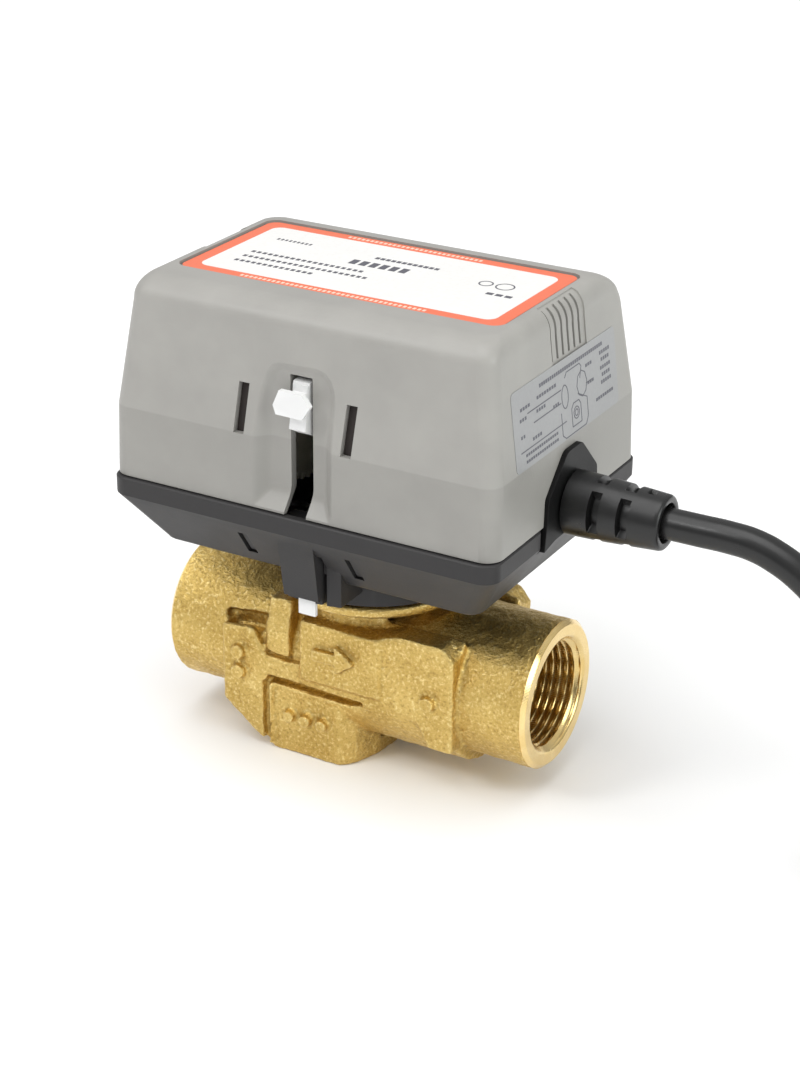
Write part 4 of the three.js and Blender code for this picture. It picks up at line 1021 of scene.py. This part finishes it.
def dashes(rows):
    """Rows of short strokes in place of print: first corner, stroke, gap, count and thickness."""
    return [[(u, v), (u + stroke, v), (u + stroke, v + thick), (u, v + thick)]
            for first, v, stroke, gap, count, thick in rows
            for u in [first + i * (stroke + gap) for i in range(count)]]


def lines(paths):
    """Thin straight strokes along paths of points."""
    quads = []
    for (u0, v0), (u1, v1) in [ends for path in paths for ends in zip(path, path[1:])]:
        along = Vector((u1 - u0, v1 - v0)).normalized() * LINE_WIDTH / 2
        quads.append([(u0 + along.y, v0 - along.x), (u1 + along.y, v1 - along.x),
                      (u1 - along.y, v1 + along.x), (u0 - along.y, v0 + along.x)])
    return quads


def round_path(centre, radius, squash=1.0, count=20):
    outline = circle(radius, count, centre, squash)
    return outline + outline[:1]


def on_panel(u, v, side):
    return u, v, PANEL_TOP - 0.05 + side * (0.05 + INK_HEIGHT)


def on_border(u, v, side):
    return u, v, LABEL_HIGH - 0.12 + side * (0.04 + INK_HEIGHT)


film = label_layer("top_label_film", 0, 2.6, (lo("top_label").z, LABEL_HIGH - 0.08), "label_film")
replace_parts(film, "top_label")
label_layer("top_label_panel", PANEL_BORDER, 2.4, (LABEL_HIGH - 0.2, PANEL_TOP), "label_white")
ink("top_label_ink", dashes([
    (-31.0, 7.6, 0.55, 0.5, 9, 1.1), (-31.0, -3.0, 0.9, 0.55, 20, 1.2), (-31.0, -6.4, 0.9, 0.55, 22, 1.2),
    (-31.0, -9.8, 0.9, 0.55, 14, 1.2), (-8.5, 1.2, 1.7, 0.8, 6, 3.0), (-5.0, 6.8, 1.0, 0.35, 12, 1.3),
    (27.0, -1.8, 1.6, 0.6, 3, 1.3),
]), "top_label", on_panel)
ink("top_label_border_marks", dashes([
    (-24.0, -LABEL_HALF[1] + 0.95, 0.7, 0.45, 40, 1.1), (-18.0, LABEL_HALF[1] - 2.0, 0.7, 0.45, 30, 1.1),
]), "top_label", on_border, "label_pale_ink")
for centre, radius in (((28.6, 4.4), 2.0), ((24.0, 4.4), 1.5)):
    thin, wide = radius - RING_HALF_WIDTH, radius + RING_HALF_WIDTH
    low, high = PANEL_TOP - 0.05, PANEL_TOP + INK_HEIGHT
    mark = revolve("top_label_ring", [(thin, low), (wide, low), (wide, high), (thin, high)], 48, centre)
    finish(mark, "top_label", "label_ink", stands_for=False)


# ---- wiring label on the right wall
LABEL_FOOT_X = COVER_FOOT[0] - WALL_LEAN
WALL_ANGLE = atan2(LABEL_FOOT_X - TOP_HALF[0], EDGE_Z - KNEE_Z)


def on_side(u, v, out):
    """A point of the leaning wall: u along y, v up the wall, out in front of it."""
    c, s = cos(WALL_ANGLE), sin(WALL_ANGLE)
    return LABEL_FOOT_X - v * s + out * c, u, KNEE_Z + v * c + out * s


def side_ink(u, v, side):
    return on_side(u, v, 0.05 + side * 0.08)


outline = [(a - 0.5, b + 8.8) for a, b in round_box(24.5, 8.7, 1.2, 6)]
film = rings_mesh("wiring_label_film", [[on_side(u, v, out) for u, v in outline] for out in (-0.03, 0.10)])
finish(shade(film, 30), "wiring_label")
ink("wiring_label_text", dashes([
    (-12.5, 15.0, 0.7, 0.28, 31, 0.8), (-21.5, 12.6, 0.8, 0.35, 4, 0.7), (-14.0, 12.9, 0.8, 0.35, 8, 0.7),
    (-22.0, 10.4, 0.7, 0.4, 3, 0.7), (-14.5, 10.2, 0.7, 0.4, 4, 0.7), (-7.0, 8.6, 0.6, 0.4, 3, 0.7),
    (-22.0, 6.8, 0.6, 0.5, 2, 0.7), (-17.0, 5.0, 0.7, 0.4, 4, 0.7), (-20.5, 2.6, 0.7, 0.3, 15, 0.6),
    (-20.5, 1.2, 0.7, 0.3, 15, 0.6), (9.0, 12.6, 0.8, 0.3, 3, 0.7), (9.5, 8.6, 0.8, 0.3, 3, 0.7),
    (16.0, 13.2, 0.7, 0.35, 5, 0.8), (16.6, 11.6, 0.7, 0.35, 4, 0.8), (16.0, 9.8, 0.7, 0.35, 5, 0.8),
    (16.6, 8.2, 0.7, 0.35, 4, 0.8), (16.0, 6.6, 0.7, 0.35, 5, 0.8), (13.0, 3.6, 0.8, 0.3, 8, 0.7),
]), "wiring_label", side_ink)
ink("wiring_label_lines", lines([
    [(-18.5, 11.4), (-3.0, 11.4)], [(-16.0, 8.6), (-3.4, 8.6)], [(-22.5, 4.0), (-1.5, 4.0)],
    [(-3.6, 6.4), (-3.6, 1.4), (-2.2, 0.4), (7.6, 0.4), (8.8, 2.0), (8.8, 6.2), (4.6, 8.2)],
    round_path((-1.4, 9.4), 1.5, 1.7), round_path((3.4, 4.4), 1.3), round_path((3.4, 4.4), 0.7),
    [(1.2, 1.8), (1.2, 5.8), (2.2, 6.8), (4.8, 6.8), (5.6, 5.8), (5.6, 1.8), (1.2, 1.8)],
    round_path((6.8, 9.8), 2.4, 1.2, 8), [(-1.0, 13.4), (0.0, 14.4), (6.2, 14.4), (7.0, 13.6)],
    [(7.0, 13.6), (6.0, 11.2)], [(8.8, 9.2), (11.6, 9.2)],
]), "wiring_label", side_ink)


# ---- gland plate and strain relief
GLAND_OUTLINE = [(-13.4, -5.2), (-8.2, -4.2), (8.2, -4.2), (12.6, -5.2), (12, 1.7), (11.6, 6.4), (3.4, 14.6),
                 (-3.6, 14.6), (-12, 6.4), (-12.4, 1.7)]
GLAND_ROUNDS = [0.3, 0.6, 0.6, 0.3, 1.0, 0.9, 1.2, 1.2, 0.9, 1.0]
SLEEVE_SIDES = 180
SLEEVE_PROFILE = ([49.2, 56.5, 70.2, 70.7, 71.0], [7.2, 7.0, 6.15, 5.95, 5.55])  # x, radius
SLEEVE_XS = [49.2, 49.25, 49.5, 50.5, 52, 53.5, 54.6, *np.arange(54.9, 57.95, 0.12), 58.5, 59.5, 60.5, 61.2,
             *np.arange(61.5, 64.6, 0.12), 65.2, 65.8, 66.0, *np.arange(66.1, 68.4, 0.12), 69.2, 69.8, 70.2,
             70.45, 70.7, 70.9, 71.0]
SLEEVE_INSIDE = [(4.75, 71.0), (4.45, 70.9), (4.3, 70.6), (4.2, 69.0), (3.85, 68.6), (3.85, 49.2)]
SLOT_ROWS = [56.4, 63.0]  # middles of the two rings of slots
SLOT_HALF = 1.15
SLOT_FLOOR_R = 4.75
BRIDGES = [-38, 62, 152, 242]  # degrees round from the side facing forwards, upwards
BRIDGE_HALF = 11
NOTCH_X, NOTCH_AT = 67.2, 92


def degrees_between(a, b):
    return abs((a - b + 180) % 360 - 180)


def sleeve_radius(x, bearing):
    radius = float(np.interp(x, *SLEEVE_PROFILE))
    for middle in SLOT_ROWS:
        nearest = min(degrees_between(bearing, bridge) for bridge in BRIDGES)
        wall = max(abs(x - middle) - SLOT_HALF, (BRIDGE_HALF - nearest) * radians(radius))
        depth = min(1.0, max(0.0, (0.12 - wall) / 0.3))
        radius -= (radius - SLOT_FLOOR_R) * depth * depth * (3 - 2 * depth)
    notch = max(abs(x - NOTCH_X) - 0.8, degrees_between(bearing, NOTCH_AT) * radians(6.3) - 1.1)
    return radius - 0.9 * min(1.0, max(0.0, (0.1 - notch) / 0.3))


def sleeve_ring(x, radius=None):
    """Points round the sleeve at a place along it: of its slotted outside, or of a plain circle."""
    ring = []
    for i in range(SLEEVE_SIDES):
        bearing = 360 * i / SLEEVE_SIDES
        angle = radians(bearing)
        reach = radius or sleeve_radius(x, bearing)
        ring.append((x, CORD_Y - reach * cos(angle), CORD_Z + reach * sin(angle)))
    return ring


outline = fillet([(y, z + RIM) for y, z in GLAND_OUTLINE], GLAND_ROUNDS, 4)
gland = prism("gland_plate_moulded", outline, "x", (47.3, 48.7))
join(gland, rod("spigot", "x", 4.2, (43.2, 48), (CORD_Y, CORD_Z)))
cut(gland, rod("bore", "x", 3.7, (40, 60), (CORD_Y, CORD_Z)))
bevel(weld(gland), 0.35, 3, 40)
finish(shade(gland, 32), "gland_plate")
relief = rings_mesh("strain_relief_moulded", [sleeve_ring(x) for x in SLEEVE_XS]
                    + [sleeve_ring(x, radius) for radius, x in SLEEVE_INSIDE], closed=True)
finish(shade(relief, 42), "strain_relief")
inlet = rod("inner_cable_sheath", "x", CORD_R, (41.5, 71.05), (CORD_Y, CORD_Z), 48)
finish(shade(inlet, 30), "inner_cable")


# ---- lever, latch and springs
KNOB_OUTLINE = [(-3.2, 98.2), (-4.75, 94.7), (-4.05, 92.7), (2.4, 92.6), (4.4, 95.7), (2.4, 98.2)]

arm = copy_of("lever_arm_moulded", "lever_arm")
cut(arm, box((-6, 6), (-40, -32.15), (93.9, 103)))  # the CAD knob gives way to a thinner one
join(arm, box((-1.6, 1.6), (-34.6, -31), (93.4, 97.4)),
     prism("knob", KNOB_OUTLINE, "y", (-35.5, -34.3)))
bevel(weld(arm, 0.001), 0.3, 3, 30)
finish(shade(arm, 32), "lever_arm")

latch = copy_of("latch_tab_moulded", "latch_tab")
cut(latch, box((-3, 3), (-29.5, -20), (RIM - 30, RIM - 21)))
join(latch, box((-2.15, 2.15), (-30.45, -29.4), (lo("latch_tab").z - 0.9, RIM - 20)))
bevel(weld(latch, 0.001), 0.25, 3, 30)
finish(shade(latch, 32), "latch_tab")


def helix(name, node, centre, axis, coil_r, wire_r, turns):
    """A wound spring in the room of the plain tube that stands for it."""
    along = "xyz".index(axis)
    low, high = lo(node)[along] + wire_r, hi(node)[along] - wire_r
    points = []
    steps = turns * 16
    for i in range(steps + 1):
        share = i / steps
        a, b = [coil_r * part(tau * turns * share) for part in (cos, sin)]
        point = AXIS_ORDER[axis](a, b, low + (high - low) * share)
        points.append(tuple(p + q for p, q in zip(point, centre)))
    curve = wire(name + "_curve", points, wire_r, 3)
    made = add_object(name, mesh_of(curve))
    bpy.data.curves.remove(curve.data)
    made.data.shade_smooth()
    finish(made, node)


middle = (lo("return_spring") + hi("return_spring")) / 2
helix("latch_spring_coil", "latch_spring", (0, -27.9, 0), "z", 1.5, 0.25, 2)
helix("return_spring_coil", "return_spring", (0, middle.y, middle.z), "x", 3.45, 0.45, 9)

for node, made in frame["nodes"].items():
    if node in SLOT_OF:
        made.data.materials.clear()
        made.data.materials.append(MATERIALS[SLOT_OF[node]])


# ---- stage and light
MIDDLE = (0, 0, 0.06)  # metres, what the lights aim at
FLOOR_REACH = 9000


def soft_light(name, place, size, power, tint=(1, 1, 1)):
    data = bpy.data.lights.new(name, "AREA")
    data.shape = "RECTANGLE"
    data.size, data.size_y = size
    data.energy = power
    data.color = tint
    made = add_object(name, data)
    made.location = place
    made.rotation_euler = (Vector(MIDDLE) - Vector(place)).to_track_quat("-Z", "Y").to_euler()


corners = [(x * FLOOR_REACH, y * FLOOR_REACH, 0) for x, y in ((-1, -1), (1, -1), (1, 1), (-1, 1))]
floor = mesh_from("floor", corners, [(0, 1, 2, 3)])
paper = Shader("paper", Roughness=0.9)
tone = paper.blend(paper.noise(300, 2), (0.93, 0.93, 0.93), (0.97, 0.97, 0.97))
paper.feed(paper.surface.inputs["Base Color"], tone)
floor.data.materials.append(paper.material)
soft_light("top", (-0.1, -0.7, 3.0), (2.6, 2.4), 46)
soft_light("right", (1.7, -0.25, 0.75), (1.0, 1.0), 12, (0.95, 1.0, 0.97))
soft_light("key", (-0.9, -1.3, 1.5), (0.5, 0.4), 9)

# even studio surroundings, dimmer towards the horizon than overhead
world = bpy.data.worlds.new("studio")
world.use_nodes = True
nodes, links = world.node_tree.nodes, world.node_tree.links
split = nodes.new("ShaderNodeSeparateXYZ")
ramp = nodes.new("ShaderNodeValToRGB")
links.new(nodes.new("ShaderNodeTexCoord").outputs["Generated"], split.inputs[0])
links.new(split.outputs["Z"], ramp.inputs[0])
links.new(ramp.outputs[0], nodes["Background"].inputs["Color"])
elements = ramp.color_ramp.elements
elements[0].color = (0.30, 0.30, 0.31, 1)
elements[1].color = (0.85, 0.85, 0.85, 1)
elements.new(0.45).color = (0.62, 0.62, 0.62, 1)
nodes["Background"].inputs["Strength"].default_value = 1.02
bpy.context.scene.world = world
bpy.context.scene.view_settings.view_transform = "Standard"
